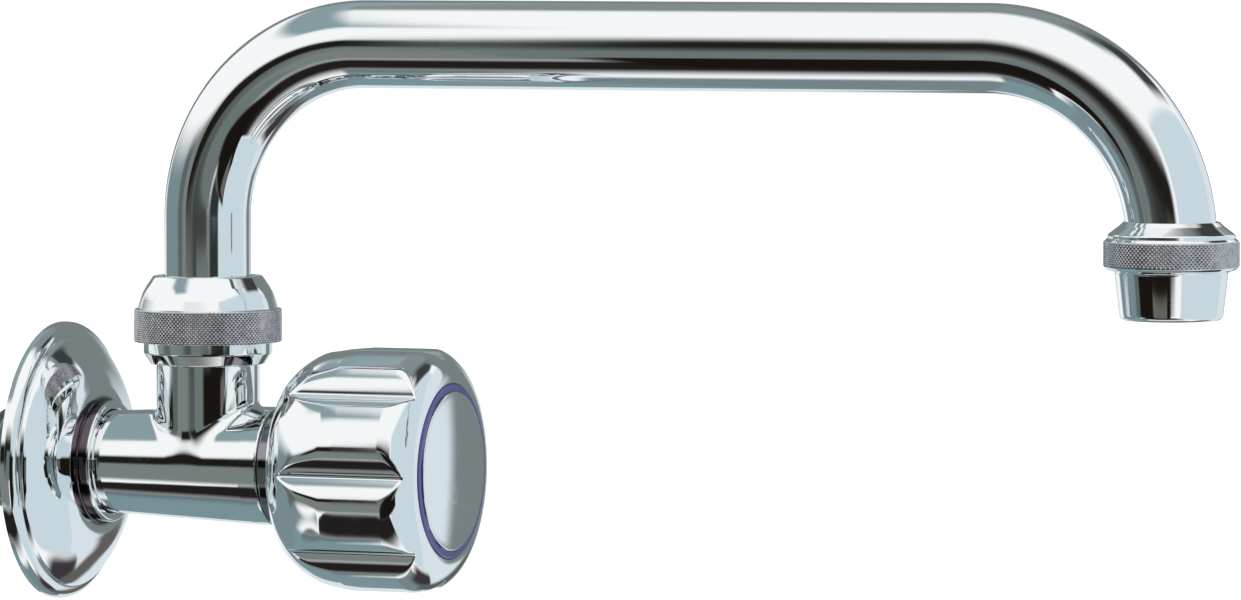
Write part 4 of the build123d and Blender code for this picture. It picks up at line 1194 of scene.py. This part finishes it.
def make_floor(height):
    material = bpy.data.materials.new("Pale floor")
    build = fresh_nodes(material)
    matt = build.out("ShaderNodeBsdfDiffuse", {"Color": (0.86, 0.87, 0.88, 1)})
    white = build.out("ShaderNodeEmission", {"Color": (1, 1, 1, 1), "Strength": 0.55})
    both = build.out("ShaderNodeAddShader", {0: matt, 1: white})
    build.surface(seen_white(build), matt, both)
    ground = helper_object("floor", plane_mesh("floor", (8, 8, 0)))
    ground.location.z = height
    ground.data.materials.append(material)
    ground.visible_glossy = False


class WALLTAP_OT_stage(bpy.types.Operator):
    """Camera, pale floor, soft light and the cards that shape the reflections"""
    bl_idname = "walltap.stage"
    bl_label = "Studio"

    def execute(self, context):
        (s,) = sizes(context, "stage")
        across = Vector((math.cos(s.azimuth), math.sin(s.azimuth), 0))
        level = math.cos(s.elevation)
        back = Vector((
            math.sin(s.azimuth) * level, -math.cos(s.azimuth) * level, math.sin(s.elevation),
        ))
        camera = bpy.data.cameras.new("Photo camera")
        camera.lens = s.lens
        camera.sensor_width = 36.0
        camera.clip_end = 20.0
        holder = helper_object("Photo camera", camera)
        aim(holder, across * s.aim_side + Vector((0, 0, s.aim_z)) + back * s.distance, -back)
        context.scene.camera = holder
        make_world(context, s.daylight)
        make_floor(s.floor_z)
        for card in CARDS:
            studio_card(*card)
        key = bpy.data.lights.new("Soft key", "AREA")
        key.energy = 6.0
        key.size = 0.9
        lamp = helper_object("Soft key", key)
        aim(lamp, KEY_PLACE, KEY_TARGET - KEY_PLACE)
        lamp.visible_glossy = False
        context.scene.view_settings.view_transform = "Standard"
        return {"FINISHED"}


# ---- panel and registration --------------------------------------------------------
OPERATORS = (
    WALLTAP_OT_body,
    WALLTAP_OT_rose,
    WALLTAP_OT_trim,
    WALLTAP_OT_knob,
    WALLTAP_OT_knob_front,
    WALLTAP_OT_spout,
    WALLTAP_OT_nut,
    WALLTAP_OT_aerator,
    WALLTAP_OT_inner_finish,
    WALLTAP_OT_stage,
)


class WALLTAP_PT_panel(bpy.types.Panel):
    """The tap's sizes and its build buttons"""
    bl_label = "Wall Tap"
    bl_idname = "WALLTAP_PT_panel"
    bl_space_type = "VIEW_3D"
    bl_region_type = "UI"
    bl_category = "Wall Tap"

    def draw(self, context):
        settings = context.scene.wall_tap
        for operator in OPERATORS:
            self.layout.operator(operator.bl_idname)
        for name, group in GROUPS:
            box = self.layout.box()
            box.label(text=name.title())
            for field in group.__annotations__:
                box.prop(getattr(settings, name), field)


CLASSES = (*[group for _, group in GROUPS], WallTapSettings, *OPERATORS, WALLTAP_PT_panel)


def register():
    for cls in CLASSES:
        bpy.utils.register_class(cls)
    bpy.types.Scene.wall_tap = PointerProperty(type=WallTapSettings)


def unregister():
    del bpy.types.Scene.wall_tap
    for cls in reversed(CLASSES):
        bpy.utils.unregister_class(cls)


def main():
    register()
    for operator in OPERATORS:
        family, name = operator.bl_idname.split(".")
        getattr(getattr(bpy.ops, family), name)()


if __name__ == "__main__":
    main()
